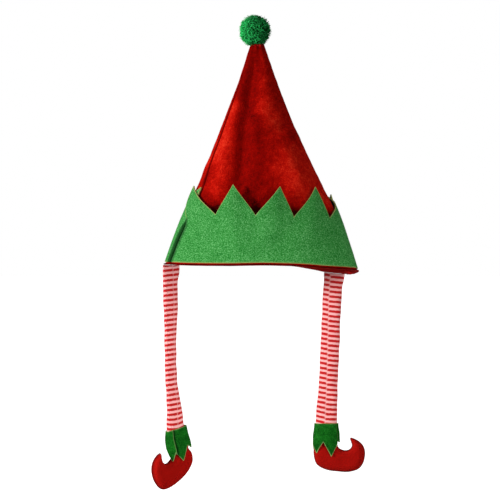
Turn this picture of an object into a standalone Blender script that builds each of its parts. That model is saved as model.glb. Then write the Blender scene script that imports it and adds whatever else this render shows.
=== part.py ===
"""Elf hat: a plush cone with a zigzag felt brim, a pompom, and two striped legs that end in curled shoes.

It is modelled as it sits on a head. The origin is the middle of the rim opening, +Z is up and the front
faces -Y. Turns are degrees counter-clockwise seen from above, with 0 at +X (the right end of the rim), 90 at
the back, 180 at the left end and 270 at the front. Lengths are metres, and the tables hold shares of the sizes
they name.
"""

import math
import random
from bisect import bisect_right
from collections import namedtuple

import bmesh
import bpy
from mathutils import Vector
from mathutils.geometry import delaunay_2d_cdt

# The crown
CROWN_HEIGHT = 0.308
RIM_WIDTH = 0.268
RIM_DEPTH = 0.120
RIM_DROOP = 0.0145  # how far the right end of the rim hangs below the left
RIM_LIP_HEIGHT = 0.0024  # the bottom edge turns out under the brim
RIM_LIP_OUT = 0.003
LIP_LEVEL = 0.4  # the share of the lip's height that is upright
PLUSH_WALL = 0.002
FOLD_DEPTH = 0.007
FOLD_WIDTH = 0.010
FOLD_REACH = 0.25  # share of a panel beside each seam over which the folds die out
FOLD_NONE = 0.05  # the crown's width share where there is no fold left, near the tip
FOLD_FULL = 0.20
SEAM_ROLL = 0.0045  # how deep the panel edges roll in at a side seam
SEAM_ALLOWANCE = 0.006  # cloth that stands inward beyond the seam
SMALLEST_ALLOWANCE = 0.0015
ROOMY_WIDTH = 0.060  # a section this wide has room for the whole allowance

# The brim
BRIM_HEIGHT = 0.110  # to the tooth tips
BRIM_SETBACK = 0.0036  # from the rim's edge up to the felt
FELT_WALL = 0.002
TOOTH_FLARE = 0.010
FLARE_START = 0.15  # share of the brim's height where the teeth begin to stand off
BRIM_ROLL = 0.003
KNEE = 0.56  # share of the brim's height where the side seam ends and the teeth lean on their own
LAP_UNDER_KNEE = 0.06  # the lap begins and is full this far from the knee, as shares of the brim's height
LAP_OVER_KNEE = 0.05
LAP_ALONG = 0.16  # the first tooth stands out over the other panel's last one as far as this share of the turn
FLANK_BOW = 0.88  # under 1, the tooth flanks bow outward

# The pompom
POMPOM_DIAMETER = 0.042
POMPOM_LOCK = 0.0042
POMPOM_ASIDE = 0.09  # how far it sits to the left of the tip, as a share of its diameter
LOCKS_ACROSS = 6
LOCK_ROOM = 0.28  # the rest are shares of a lock: the room round it, its length, and how far it leans
LOCK_SHORTEST = 0.45
LOCK_LONGEST = 1.12
LOCK_LEAN = 0.18
LOCK_FLATTENED = 0.5

# The legs
LEG_WIDTH = 0.032
LEG_THICKNESS = 0.011
LEG_DROP = 0.237  # from the origin's height down to the right leg's end inside its cuff

# The cuffs
CUFF_WALL = 0.0015
CUFF_BAND = 0.026  # height down to the valleys of its zigzag
CUFF_TOOTH = 0.019
CUFF_COVERS = 0.012  # how much of the leg's end the cuff goes round
CUFF_FLARE_WIDE = 0.0018
CUFF_FLARE_DEEP = 0.006

# The shoes
SHOE_LENGTH = 0.073
SHOE_THICKNESS = 0.018
SHOE_EDGE = 0.013  # how far in from the edge the padding reaches its full thickness

# Between pieces that touch
GAP = 0.0003
BRIM_GAP = 0.0006  # the flat faces of a coarse curve need this much for the gap to stay open
LAP_GAP = 0.0008
CUFF_GAP = 0.0006
SEAT_GAP = 0.0005

# Mesh fineness
CROWN_COLUMNS = 18
BAND_ROWS = 3
TOOTH_ROWS = 4
FLANK_COLUMNS = 3
BRIM_STEP = 0.037  # widest share of the half turn between two columns of the brim
LEG_SIDES = 16
LEG_ROWS = 16
CUFF_TOOTH_COLUMNS = 5
CUFF_ROWS = 4
SHOE_GRID = 0.0075
SHOE_GRID_ROOM = 0.45  # share of SHOE_GRID that the grid keeps from the outline
EDGE_TOLERANCE = 1e-5

# Crown sections from the rim up. width and lean follow RIM_WIDTH and CROWN_HEIGHT, depth is the section's own
# depth against RIM_DEPTH, seam is the turn of the side seams, groove follows SEAM_ROLL.
CrownRow = namedtuple("CrownRow", "up width lean depth seam groove")
CROWN = [
    CrownRow(0.00, 1.000, 0.000, 1.000, 18, 1.00),
    CrownRow(0.10, 0.918, 0.000, 0.918, 20, 1.00),
    CrownRow(0.20, 0.827, 0.000, 0.827, 24, 1.00),
    CrownRow(0.35, 0.662, -0.004, 0.662, 25, 0.80),
    CrownRow(0.45, 0.558, -0.009, 0.558, 23, 0.50),
    CrownRow(0.56, 0.446, -0.012, 0.446, 22, 0.45),
    CrownRow(0.70, 0.314, -0.016, 0.325, 22, 0.45),
    CrownRow(0.84, 0.192, -0.016, 0.220, 22, 0.45),
    CrownRow(0.92, 0.130, -0.017, 0.165, 22, 0.45),
    CrownRow(1.00, 0.068, -0.017, 0.120, 22, 0.45),
]
# Heights of the crown's rows above the lip, closest where the folds are.
CROWN_UPS = [0.10, 0.20, 0.28, 0.35, 0.42, 0.49, 0.56, 0.63, 0.70, 0.77, 0.84, 0.90, 0.95, 1.00]

# How far the rim hangs below its highest point, as a share of RIM_DROOP, once round from the right seam.
RimRow = namedtuple("RimRow", "turn drop")
RIM = [
    RimRow(18, 1.00),
    RimRow(32, 0.94),
    RimRow(47, 0.79),
    RimRow(58, 0.52),
    RimRow(73, 0.20),
    RimRow(110, 0.10),
    RimRow(150, 0.06),
    RimRow(180, 0.02),
    RimRow(200, 0.04),
    RimRow(225, 0.12),
    RimRow(250, 0.15),
    RimRow(270, 0.10),
    RimRow(290, 0.17),
    RimRow(315, 0.42),
    RimRow(360, 0.70),
    RimRow(378, 1.00),
]
DROOP_FADE = 4  # the droop dies out quickly above the rim

# Soft folds, each along a line from its top to its foot. side is -1 left to 1 right of the crown at that
# height, up is a share of CROWN_HEIGHT, wide follows FOLD_WIDTH and deep FOLD_DEPTH, where a minus stands out.
Fold = namedtuple("Fold", "panel top_side top_up foot_side foot_up wide deep")
FOLDS = [
    Fold("front", -0.38, 0.99, -0.36, 0.34, 0.85, 0.95),
    Fold("front", -0.86, 0.80, -0.74, 0.42, 0.80, -0.45),
    Fold("front", 0.33, 0.80, 0.40, 0.72, 1.10, -0.50),
    Fold("front", 0.10, 0.57, 0.80, 0.62, 1.00, 0.45),
    Fold("front", -0.20, 0.45, 0.30, 0.36, 2.20, 0.55),
    Fold("front", 0.62, 0.50, 0.66, 0.40, 1.20, -0.35),
    Fold("back", 0.25, 0.96, 0.10, 0.45, 1.10, 0.70),
    Fold("back", -0.45, 0.70, -0.40, 0.40, 1.60, 0.45),
    Fold("back", 0.62, 0.60, 0.60, 0.40, 1.30, -0.35),
]

# Corners of the brim's zigzag from a panel's left end to its right, as its own viewer sees it: foot and along
# are shares of the half turn, at the knee and at the corner, high follows BRIM_HEIGHT and flare TOOTH_FLARE.
Corner = namedtuple("Corner", "foot along high flare")
BRIM_CORNERS = {
    "front": [
        Corner(0.000, -0.090, 0.995, 0.42),
        Corner(0.173, 0.173, 0.617, 0.10),
        Corner(0.253, 0.227, 1.008, 0.32),
        Corner(0.342, 0.342, 0.604, 0.10),
        Corner(0.420, 0.455, 0.981, 0.34),
        Corner(0.498, 0.498, 0.586, 0.12),
        Corner(0.582, 0.665, 0.989, 0.42),
        Corner(0.688, 0.688, 0.594, 0.40),
        Corner(1.000, 1.000, 0.940, 0.27),
    ],
    "back": [
        Corner(0.000, -0.100, 0.910, 0.36),
        Corner(0.180, 0.180, 0.600, 0.18),
        Corner(0.264, 0.270, 0.980, 0.50),
        Corner(0.348, 0.348, 0.615, 0.14),
        Corner(0.430, 0.440, 1.000, 0.40),
        Corner(0.510, 0.510, 0.610, 0.12),
        Corner(0.600, 0.640, 0.990, 0.30),
        Corner(0.715, 0.715, 0.620, 0.10),
        Corner(1.000, 1.000, 0.975, 0.04),
    ],
}

# Leg sections from the rim down. side is the sideways drift as a share of LEG_DROP, wide and thick follow
# LEG_WIDTH and LEG_THICKNESS, twist is the turn of the section's long side. drop follows LEG_DROP, lean is the
# foot's in degrees, and toe is the way it points along the section's long side.
LegRow = namedtuple("LegRow", "down side wide thick twist")
LegPlace = namedtuple("LegPlace", "rim_turn drop lean toe rows")
LEGS = {
    "left": LegPlace(
        rim_turn=159,
        drop=1.027,
        lean=14,
        toe=-1,
        rows=[
            LegRow(0.00, 0.000, 0.97, 0.45, 45),
            LegRow(0.05, -0.002, 0.95, 0.70, 45),
            LegRow(0.13, -0.005, 0.89, 0.95, 48),
            LegRow(0.28, -0.004, 0.86, 1.00, 51),
            LegRow(0.43, -0.005, 0.86, 1.00, 62),
            LegRow(0.56, -0.004, 0.86, 1.00, 63),
            LegRow(0.68, 0.001, 0.86, 1.00, 61),
            LegRow(0.81, 0.014, 0.89, 1.03, 54),
            LegRow(0.91, 0.021, 0.92, 1.10, 40),
            LegRow(1.00, 0.031, 0.92, 1.15, 31),
        ],
    ),
    "right": LegPlace(
        rim_turn=40,
        drop=1.0,
        lean=0,
        toe=1,
        rows=[
            LegRow(0.00, 0.000, 0.98, 0.45, -25),
            LegRow(0.05, -0.003, 0.94, 0.70, -22),
            LegRow(0.10, -0.008, 0.87, 0.95, -16),
            LegRow(0.27, -0.018, 0.82, 1.00, -8),
            LegRow(0.46, -0.025, 0.86, 1.00, -4),
            LegRow(0.65, -0.033, 0.83, 1.00, 0),
            LegRow(0.82, -0.041, 0.90, 1.05, 0),
            LegRow(0.93, -0.046, 0.95, 1.10, 0),
            LegRow(1.00, -0.047, 0.96, 1.15, 0),
        ],
    ),
}

# Teeth of a cuff, by the turn of their tips in the cuff's own section. The one over the toe is cut short.
CuffTooth = namedtuple("CuffTooth", "turn reach")
CUFF_TEETH = {
    "left": [
        CuffTooth(46, 0.80),
        CuffTooth(118, 0.30),
        CuffTooth(207, 0.92),
        CuffTooth(259, 0.98),
        CuffTooth(334, 0.85),
    ],
    "right": [
        CuffTooth(7, 0.10),
        CuffTooth(79, 0.90),
        CuffTooth(151, 0.85),
        CuffTooth(221, 0.88),
        CuffTooth(291, 1.12),
    ],
}

# Shoe outlines from the top of the heel side, at the leg's end, round the sole to the toe and back up the
# instep. toe is toward the toe and down is below the leg's end, both shares of SHOE_LENGTH.
ShoePoint = namedtuple("ShoePoint", "toe down")
SHOES = {
    "left": [
        ShoePoint(-0.16, 0),
        ShoePoint(-0.2, 0.06),
        ShoePoint(-0.235, 0.15),
        ShoePoint(-0.255, 0.22),
        ShoePoint(-0.32, 0.3),
        ShoePoint(-0.345, 0.4),
        ShoePoint(-0.335, 0.52),
        ShoePoint(-0.25, 0.67),
        ShoePoint(-0.1, 0.82),
        ShoePoint(0.08, 0.94),
        ShoePoint(0.22, 0.997),
        ShoePoint(0.33, 0.997),
        ShoePoint(0.42, 0.94),
        ShoePoint(0.5, 0.82),
        ShoePoint(0.54, 0.68),
        ShoePoint(0.54, 0.56),
        ShoePoint(0.51, 0.45),
        ShoePoint(0.45, 0.36),
        ShoePoint(0.375, 0.297),
        ShoePoint(0.34, 0.327),
        ShoePoint(0.335, 0.39),
        ShoePoint(0.31, 0.46),
        ShoePoint(0.26, 0.507),
        ShoePoint(0.2, 0.487),
        ShoePoint(0.14, 0.432),
        ShoePoint(0.09, 0.332),
        ShoePoint(0.1, 0.16),
        ShoePoint(0.15, 0),
    ],
    "right": [
        ShoePoint(-0.17, 0),
        ShoePoint(-0.2, 0.075),
        ShoePoint(-0.215, 0.225),
        ShoePoint(-0.25, 0.375),
        ShoePoint(-0.235, 0.525),
        ShoePoint(-0.19, 0.635),
        ShoePoint(-0.09, 0.71),
        ShoePoint(0.06, 0.76),
        ShoePoint(0.235, 0.78),
        ShoePoint(0.38, 0.79),
        ShoePoint(0.505, 0.775),
        ShoePoint(0.63, 0.725),
        ShoePoint(0.71, 0.625),
        ShoePoint(0.745, 0.505),
        ShoePoint(0.75, 0.38),
        ShoePoint(0.71, 0.27),
        ShoePoint(0.625, 0.185),
        ShoePoint(0.53, 0.135),
        ShoePoint(0.47, 0.12),
        ShoePoint(0.46, 0.15),
        ShoePoint(0.48, 0.21),
        ShoePoint(0.495, 0.27),
        ShoePoint(0.475, 0.32),
        ShoePoint(0.43, 0.355),
        ShoePoint(0.355, 0.365),
        ShoePoint(0.285, 0.345),
        ShoePoint(0.225, 0.295),
        ShoePoint(0.205, 0.175),
        ShoePoint(0.18, 0),
    ],
}


def read(table, column, at):
    """The value of a table's column at a place along its first one, on a smooth curve that never overshoots."""
    keys = [row[0] for row in table]
    values = [getattr(row, column) for row in table]
    at = min(max(at, keys[0]), keys[-1])
    steps = [(values[i + 1] - values[i]) / (keys[i + 1] - keys[i]) for i in range(len(keys) - 1)]

    def slope(i):
        if i in (0, len(keys) - 1):
            return steps[min(i, len(steps) - 1)]
        before, after = steps[i - 1], steps[i]
        return 2 * before * after / (before + after) if before * after > 0 else 0.0

    i = min(bisect_right(keys, at), len(keys) - 1) - 1
    span = keys[i + 1] - keys[i]
    t = (at - keys[i]) / span
    return (
        values[i] * (1 + 2 * t) * (1 - t) ** 2
        + values[i + 1] * t * t * (3 - 2 * t)
        + slope(i) * span * t * (1 - t) ** 2
        - slope(i + 1) * span * t * t * (1 - t)
    )


def ease(x, start, end):
    """0 before start and 1 after end, with a soft step between them."""
    t = min(max((x - start) / (end - start), 0.0), 1.0)
    return t * t * (3 - 2 * t)


def rim_drop(turn):
    first = RIM[0].turn
    return RIM_DROOP * read(RIM, "drop", first + (turn - first) % 360)


def seam_turns(panel, up):
    """Where a panel starts and ends at a height: the front runs from the left seam to the right one."""
    seam = read(CROWN, "seam", up)
    start = 180 + seam if panel == "front" else seam
    return start, start + 180


def crown_point(turn, up, out=0.0):
    """A point of the crown's plain outer surface, or a distance out from it, without its folds."""
    angle = math.radians(turn)
    half_width = RIM_WIDTH / 2 * read(CROWN, "width", up)
    half_depth = RIM_DEPTH / 2 * read(CROWN, "depth", up)
    height = CROWN_HEIGHT * up - rim_drop(turn) * (1 - up) ** DROOP_FADE
    point = Vector((half_width * math.cos(angle), half_depth * math.sin(angle), height))
    point.x += CROWN_HEIGHT * read(CROWN, "lean", up)
    return point + out * outward(turn, up)


def outward(turn, up):
    """The level direction that looks out of the crown's surface."""
    angle = math.radians(turn)
    half_width = RIM_WIDTH / 2 * read(CROWN, "width", up)
    half_depth = RIM_DEPTH / 2 * read(CROWN, "depth", up)
    return Vector((math.cos(angle) / half_width, math.sin(angle) / half_depth, 0)).normalized()


def turn_for(distance, turn, up):
    """The degrees that go with a distance along the crown's section."""
    angle = math.radians(turn)
    half_width = RIM_WIDTH / 2 * read(CROWN, "width", up)
    half_depth = RIM_DEPTH / 2 * read(CROWN, "depth", up)
    return math.degrees(distance / math.hypot(half_width * math.sin(angle), half_depth * math.cos(angle)))


def fold_depth(panel, point, up):
    """How far the folds push a point of the crown in."""
    total = 0.0
    for fold in FOLDS:
        if fold.panel != panel:
            continue
        ends = []
        for side, height in ((fold.top_side, fold.top_up), (fold.foot_side, fold.foot_up)):
            middle = CROWN_HEIGHT * read(CROWN, "lean", height)
            reach = RIM_WIDTH / 2 * read(CROWN, "width", height)
            ends.append(Vector((middle + side * reach, CROWN_HEIGHT * height)))
        line = ends[1] - ends[0]
        here = Vector((point.x, CROWN_HEIGHT * up))
        t = min(max((here - ends[0]).dot(line) / line.length_squared, 0.0), 1.0)
        away = (here - ends[0] - t * line).length / (FOLD_WIDTH * fold.wide)
        total += FOLD_DEPTH * fold.deep * math.exp(-away * away)
    return total * ease(read(CROWN, "width", up), FOLD_NONE, FOLD_FULL)


def new_object(name, mesh, material):
    mesh.materials.append(material)
    obj = bpy.data.objects.new(name, mesh)
    bpy.context.scene.collection.objects.link(obj)
    return obj


def grid_mesh(name, rows, ring=False, caps=False):
    """A mesh of four-sided faces from rows of points, lowest row first. None leaves a place empty."""
    bm = bmesh.new()
    verts = [[bm.verts.new(point) if point else None for point in row] for row in rows]
    for below, above in zip(verts, verts[1:]):
        corners = list(zip(below, below[1:] + below[:1], above[1:] + above[:1], above))
        for face in corners if ring else corners[:-1]:
            if None not in face:
                bm.faces.new(face)
    if caps:
        bm.faces.new(verts[0][::-1])
        bm.faces.new(verts[-1])
    loose = [vert for vert in bm.verts if not vert.link_faces]
    bmesh.ops.delete(bm, geom=loose, context="VERTS")
    mesh = bpy.data.meshes.new(name)
    bm.to_mesh(mesh)
    bm.free()
    mesh.shade_smooth()
    return mesh


def give_wall(obj, wall):
    """Turns a sheet, which is the outer face, into a wall that grows inward."""
    solidify = obj.modifiers.new("Wall", "SOLIDIFY")
    solidify.thickness = wall
    solidify.offset = -1
    solidify.use_even_offset = True
    solidify.use_quality_normals = True


def seam_edge(turn, up, toward, roll, allowance, out=0.0):
    """Points of a panel's rolled edge at a side seam, from the face inward. toward is 1 where the panel lies at
    larger turns than the seam and -1 where it lies at smaller ones."""
    seam = crown_point(turn, up, out)
    away = outward(turn, up)
    sideways = toward * Vector((-away.y, away.x, 0))
    half_gap = sideways * GAP / 2
    points = [seam + half_gap - away * roll]
    if allowance:
        points.append(seam + half_gap - away * (roll + allowance))
    return points


def make_crown_panel(panel, plush):
    rows = []
    lip_ups = [RIM_LIP_HEIGHT / CROWN_HEIGHT * share for share in (0.0, LIP_LEVEL, 1.0)]
    for up in lip_ups + CROWN_UPS:
        start, end = seam_turns(panel, up)
        width = RIM_WIDTH * read(CROWN, "width", up)
        roll = SEAM_ROLL * read(CROWN, "groove", up)
        allowance = max(SEAM_ALLOWANCE * min(1.0, width / ROOMY_WIDTH), SMALLEST_ALLOWANCE)
        lip = RIM_LIP_OUT if up < lip_ups[2] else 0.0
        first = start + turn_for(roll + GAP / 2, start, up)
        last = end - turn_for(roll + GAP / 2, end, up)
        row = seam_edge(start, up, 1, roll, allowance, lip)[::-1]
        for column in range(CROWN_COLUMNS + 1):
            turn = first + (last - first) * column / CROWN_COLUMNS
            plain = crown_point(turn, up)
            edge = min(1.0, min(column, CROWN_COLUMNS - column) / CROWN_COLUMNS / FOLD_REACH)
            row.append(crown_point(turn, up, lip - edge * fold_depth(panel, plain, up)))
        rows.append(row + seam_edge(end, up, -1, roll, allowance, lip))
    crown = new_object(f"crown_{panel}", grid_mesh("crown_panel", rows), plush)
    give_wall(crown, PLUSH_WALL)


def brim_out(panel_corners, along, high, flare):
    """How far the brim's outer face stands out from the crown."""
    rise = ease(high, FLARE_START, 1.0)
    lap = ease(high, KNEE - LAP_UNDER_KNEE, KNEE + LAP_OVER_KNEE) * (1 - ease(along, 0.0, LAP_ALONG))
    last_tooth = TOOTH_FLARE * panel_corners[-1].flare
    over = lap * max(FELT_WALL + LAP_GAP + last_tooth - TOOTH_FLARE * flare * rise, 0.0)
    return BRIM_GAP + FELT_WALL + TOOTH_FLARE * flare * rise + over


def zigzag(corners, at):
    """Foot, along, height and flare of the brim's top edge, at counts the corners."""
    i = min(int(at), len(corners) - 2)
    t = at - i
    low, high = (corners[i + 1], corners[i]) if i % 2 == 0 else (corners[i], corners[i + 1])
    climb = (1 - t if i % 2 == 0 else t) ** FLANK_BOW

    def between(column):
        start, end = getattr(corners[i], column), getattr(corners[i + 1], column)
        return start + (end - start) * t

    top = low.high + (high.high - low.high) * climb
    return between("foot"), between("along"), top, between("flare")


def brim_up(turn, high):
    """The share of the crown's height at a share of the brim's height."""
    base = BRIM_SETBACK / CROWN_HEIGHT
    return base + (BRIM_HEIGHT / CROWN_HEIGHT - base) * high


def make_brim_panel(panel, felt):
    corners = BRIM_CORNERS[panel]
    columns = []
    for corner, (here, beyond) in enumerate(zip(corners, corners[1:])):
        count = max(FLANK_COLUMNS, math.ceil((beyond.foot - here.foot) / BRIM_STEP))
        columns += [corner + step / count for step in range(count)]
    columns.append(len(corners) - 1)
    # Where two panels meet, each one's last tooth lies under the other's first.
    other = BRIM_CORNERS["back" if panel == "front" else "front"]
    rows = []
    for row in range(BAND_ROWS + TOOTH_ROWS + 1):
        points = []
        for column in columns:
            foot, along, top, flare = zigzag(corners, column)
            if row <= BAND_ROWS:
                high = KNEE * row / BAND_ROWS
            else:
                high = KNEE + (top - KNEE) * (row - BAND_ROWS) / TOOTH_ROWS
            lean = (high - KNEE) / (top - KNEE) if high > KNEE else 0.0
            place = foot + (along - foot) * lean
            up = brim_up(0, high)
            start, end = seam_turns(panel, up)
            first = start + turn_for(BRIM_ROLL + GAP / 2, start, up) * (1 - lean)
            last = end - turn_for(BRIM_ROLL * (1 - lean) + GAP / 2, end, up)
            turn = first + (last - first) * place
            points.append(crown_point(turn, up, brim_out(other, place, high, flare)))
        ends = [None, None]
        if row <= BAND_ROWS:
            out = [brim_out(other, place, high, corners[end].flare) for end, place in ((0, 0.0), (-1, 1.0))]
            ends = [
                seam_edge(start, up, 1, BRIM_ROLL, 0.0, out[0])[0],
                seam_edge(end, up, -1, BRIM_ROLL, 0.0, out[1])[0],
            ]
        rows.append([ends[0]] + points + [ends[1]])
    brim = new_object(f"brim_{panel}", grid_mesh("brim_panel", rows), felt)
    give_wall(brim, FELT_WALL)


def make_pompom(yarn):
    """A ball of yarn locks, flat where it sits on the crown's gathered top."""
    rng = random.Random(7)
    seat = CROWN_HEIGHT + SEAT_GAP
    core = POMPOM_DIAMETER / 2 - POMPOM_LOCK
    bm = bmesh.new()
    bmesh.ops.create_cube(bm, size=1)
    bmesh.ops.subdivide_edges(bm, edges=bm.edges[:], cuts=LOCKS_ACROSS - 1, use_grid_fill=True)
    for vert in bm.verts:
        x, y, z = 2 * vert.co
        # This spreads the cube's squares evenly over the ball.
        vert.co = core * Vector(
            (
                x * math.sqrt(1 - y * y / 2 - z * z / 2 + y * y * z * z / 3),
                y * math.sqrt(1 - z * z / 2 - x * x / 2 + z * z * x * x / 3),
                z * math.sqrt(1 - x * x / 2 - y * y / 2 + x * x * y * y / 3),
            )
        )
    locks = bm.faces[:]
    bmesh.ops.inset_individual(bm, faces=locks, thickness=core / LOCKS_ACROSS * LOCK_ROOM, depth=0)
    for lock in locks:
        length = POMPOM_LOCK * rng.uniform(LOCK_SHORTEST, LOCK_LONGEST)
        raise_by = lock.calc_center_median().normalized() * length
        aside = Vector([rng.uniform(-1, 1) for _ in range(3)]) * POMPOM_LOCK * LOCK_LEAN
        for vert in lock.verts:
            vert.co += raise_by + aside
    middle = crown_point(0, 1.0)
    middle.x -= RIM_WIDTH / 2 * read(CROWN, "width", 1.0)
    height = seat + POMPOM_DIAMETER / 2 - POMPOM_LOCK * LOCK_FLATTENED
    centre = Vector((middle.x - POMPOM_DIAMETER * POMPOM_ASIDE, 0, height))
    for vert in bm.verts:
        vert.co += centre
        vert.co.z = max(vert.co.z, seat)
    mesh = bpy.data.meshes.new("pompom")
    bm.to_mesh(mesh)
    bm.free()
    new_object("pompom", mesh, yarn)


def leg_top(side):
    """Where a leg hangs: the middle of the crown's wall at the rim's edge."""
    turn = LEGS[side].rim_turn
    return crown_point(turn, 0.0, RIM_LIP_OUT - PLUSH_WALL / 2)


def leg_section(side, down):
    """Middle, half width, half thickness and the directions of both at a share of the way down a leg."""
    leg = LEGS[side]
    top = leg_top(side)
    middle = top.copy()
    middle.x += LEG_DROP * read(leg.rows, "side", down)
    middle.z += (-LEG_DROP * leg.drop - top.z) * down
    twist = math.radians(read(leg.rows, "twist", down))
    long_side = Vector((math.cos(twist), math.sin(twist), 0))
    short_side = Vector((-math.sin(twist), math.cos(twist), 0))
    half_width = LEG_WIDTH / 2 * read(leg.rows, "wide", down)
    half_thickness = LEG_THICKNESS / 2 * read(leg.rows, "thick", down)
    return middle, half_width, half_thickness, long_side, short_side


def rim_underside(x):
    """The lowest height of the back of the rim at a place across it. The wall's cut edge follows its slope."""
    share = (x - crown_point(90, 0.0).x) / (RIM_WIDTH / 2 + RIM_LIP_OUT)
    turn = math.degrees(math.acos(min(max(share, -1.0), 1.0)))
    low, high = crown_point(turn, 0.0), crown_point(turn, CROWN_UPS[0])
    slope = (low - high).xy.length / (high - low).z
    return low.z - PLUSH_WALL * slope / math.hypot(1, slope)


def make_leg(side, knit):
    rows = []
    for row in range(LEG_ROWS + 1):
        down = 1 - row / LEG_ROWS
        middle, half_width, half_thickness, long_side, short_side = leg_section(side, down)
        ring = []
        for step in range(LEG_SIDES):
            angle = 2 * math.pi * step / LEG_SIDES
            point = middle + long_side * half_width * math.cos(angle)
            point += short_side * half_thickness * math.sin(angle)
            if down == 0:
                point.z = rim_underside(point.x) - SEAT_GAP
            ring.append(point)
        rows.append(ring)
    new_object(f"leg_{side}", grid_mesh("leg", rows, ring=True, caps=True), knit)


def cuff_section(side, below):
    """A level section of the cuff's axis, at a distance below its top: it follows the leg, then leans on."""
    past = below - CUFF_COVERS
    leg = LEGS[side]
    down = 1 + min(past, 0.0) / (LEG_DROP * leg.drop)
    middle, half_width, half_thickness, long_side, short_side = leg_section(side, down)
    lean = math.tan(math.radians(leg.lean))
    if past > 0:
        middle += (long_side * lean + Vector((0, 0, -1))) * past
    return middle, half_width, half_thickness, long_side, short_side, lean


def cuff_edge(side, turn):
    """How far below the ankle's top edge a cuff ends at a turn round it."""
    teeth = CUFF_TEETH[side]
    longest = 0.0
    half_pitch = 180 / len(teeth)
    for tooth in teeth:
        apart = abs((turn - tooth.turn + 180) % 360 - 180)
        longest = max(longest, tooth.reach * (1 - apart / half_pitch))
    return CUFF_BAND + CUFF_TOOTH * longest


def make_cuff(side, velvet):
    """A velvet band round the ankle whose top edge and zigzag lean with the foot."""
    columns = CUFF_TOOTH_COLUMNS * len(CUFF_TEETH[side])
    first = CUFF_TEETH[side][0].turn
    rows = []
    for row in range(CUFF_ROWS, -1, -1):
        ring = []
        for column in range(columns):
            turn = first + 360 * column / columns
            below = cuff_edge(side, turn) * row / CUFF_ROWS
            middle, half_width, half_thickness, long_side, short_side, lean = cuff_section(side, below)
            flare = ease(below, 0.0, CUFF_BAND)
            half_width += CUFF_GAP + CUFF_WALL + CUFF_FLARE_WIDE * flare
            half_thickness += CUFF_GAP + CUFF_WALL + CUFF_FLARE_DEEP * flare
            angle = math.radians(turn)
            aside = half_width * math.cos(angle)
            point = middle + long_side * aside + short_side * half_thickness * math.sin(angle)
            point.z += aside * lean
            ring.append(point)
        rows.append(ring)
    cuff = new_object(f"cuff_{side}", grid_mesh("cuff", rows, ring=True), velvet)
    give_wall(cuff, CUFF_WALL)


def edge_distance(point, outline):
    """The distance from a point to the nearest side of a closed outline."""
    nearest = math.inf
    for start, end in zip(outline, outline[1:] + outline[:1]):
        line = end - start
        t = min(max((point - start).dot(line) / line.length_squared, 0.0), 1.0)
        nearest = min(nearest, (point - start - t * line).length)
    return nearest


def inside(point, outline):
    """Whether a point is inside a closed outline."""
    crossings = False
    for start, end in zip(outline, outline[1:] + outline[:1]):
        if (start.y > point.y) != (end.y > point.y):
            if point.x < start.x + (end.x - start.x) * (point.y - start.y) / (end.y - start.y):
                crossings = not crossings
    return crossings


def shoe_net(outline):
    """Points and three-sided faces that fill an outline, with no inner side running from edge to edge."""
    spots = list(outline)
    low = Vector((min(p.x for p in outline), min(p.y for p in outline)))
    size = Vector((max(p.x for p in outline), max(p.y for p in outline))) - low
    for i in range(1, int(size.x / SHOE_GRID) + 1):
        for j in range(1, int(size.y / SHOE_GRID) + 1):
            spot = low + Vector((SHOE_GRID * (i - 0.5 * (j % 2)), SHOE_GRID * j))
            if inside(spot, outline) and edge_distance(spot, outline) > SHOE_GRID * SHOE_GRID_ROOM:
                spots.append(spot)
    count = len(outline)
    sides = [(i, (i + 1) % count) for i in range(count)]
    while True:
        flat, _, faces, _, _, _ = delaunay_2d_cdt(spots, sides, [], 1, EDGE_TOLERANCE)
        chords = set()
        for face in faces:
            for start, end in zip(face, face[1:] + face[:1]):
                low_end, high_end = min(start, end), max(start, end)
                if high_end < count and high_end - low_end not in (1, count - 1):
                    chords.add((low_end, high_end))
        if not chords:
            return flat, faces
        spots += [(flat[start] + flat[end]) / 2 for start, end in sorted(chords)]


def make_shoe(side, felt):
    """A padded shoe: two sheets on the same outline, blown up from its edge like a cushion."""
    ankle, _, _, long_side, short_side = leg_section(side, 1.0)
    toe_way = long_side * LEGS[side].toe
    outline = [Vector((point.toe, point.down)) * SHOE_LENGTH for point in SHOES[side]]
    flat, faces = shoe_net(outline)
    bm = bmesh.new()
    sheets = []
    for way in (1, -1):
        sheet = []
        for index, spot in enumerate(flat):
            if sheets and index < len(outline):
                sheet.append(sheets[0][index])
                continue
            into = 0.0 if index < len(outline) else min(edge_distance(spot, outline) / SHOE_EDGE, 1.0)
            puff = SHOE_THICKNESS / 2 * math.sqrt(1 - (1 - into) ** 2)
            place = ankle + toe_way * spot.x + short_side * puff * way
            place.z -= spot.y + GAP
            sheet.append(bm.verts.new(place))
        sheets.append(sheet)
        for face in faces:
            bm.faces.new([sheet[i] for i in face])
    bmesh.ops.recalc_face_normals(bm, faces=bm.faces[:])
    mesh = bpy.data.meshes.new("shoe")
    bm.to_mesh(mesh)
    bm.free()
    mesh.shade_smooth()
    new_object(f"shoe_{side}", mesh, felt)


def cloth(name, colour, roughness):
    material = bpy.data.materials.new(name)
    material.use_nodes = True
    surface = material.node_tree.nodes["Principled BSDF"]
    surface.inputs["Base Color"].default_value = (*colour, 1)
    surface.inputs["Roughness"].default_value = roughness
    surface.inputs["Metallic"].default_value = 0.0
    return material


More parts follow.
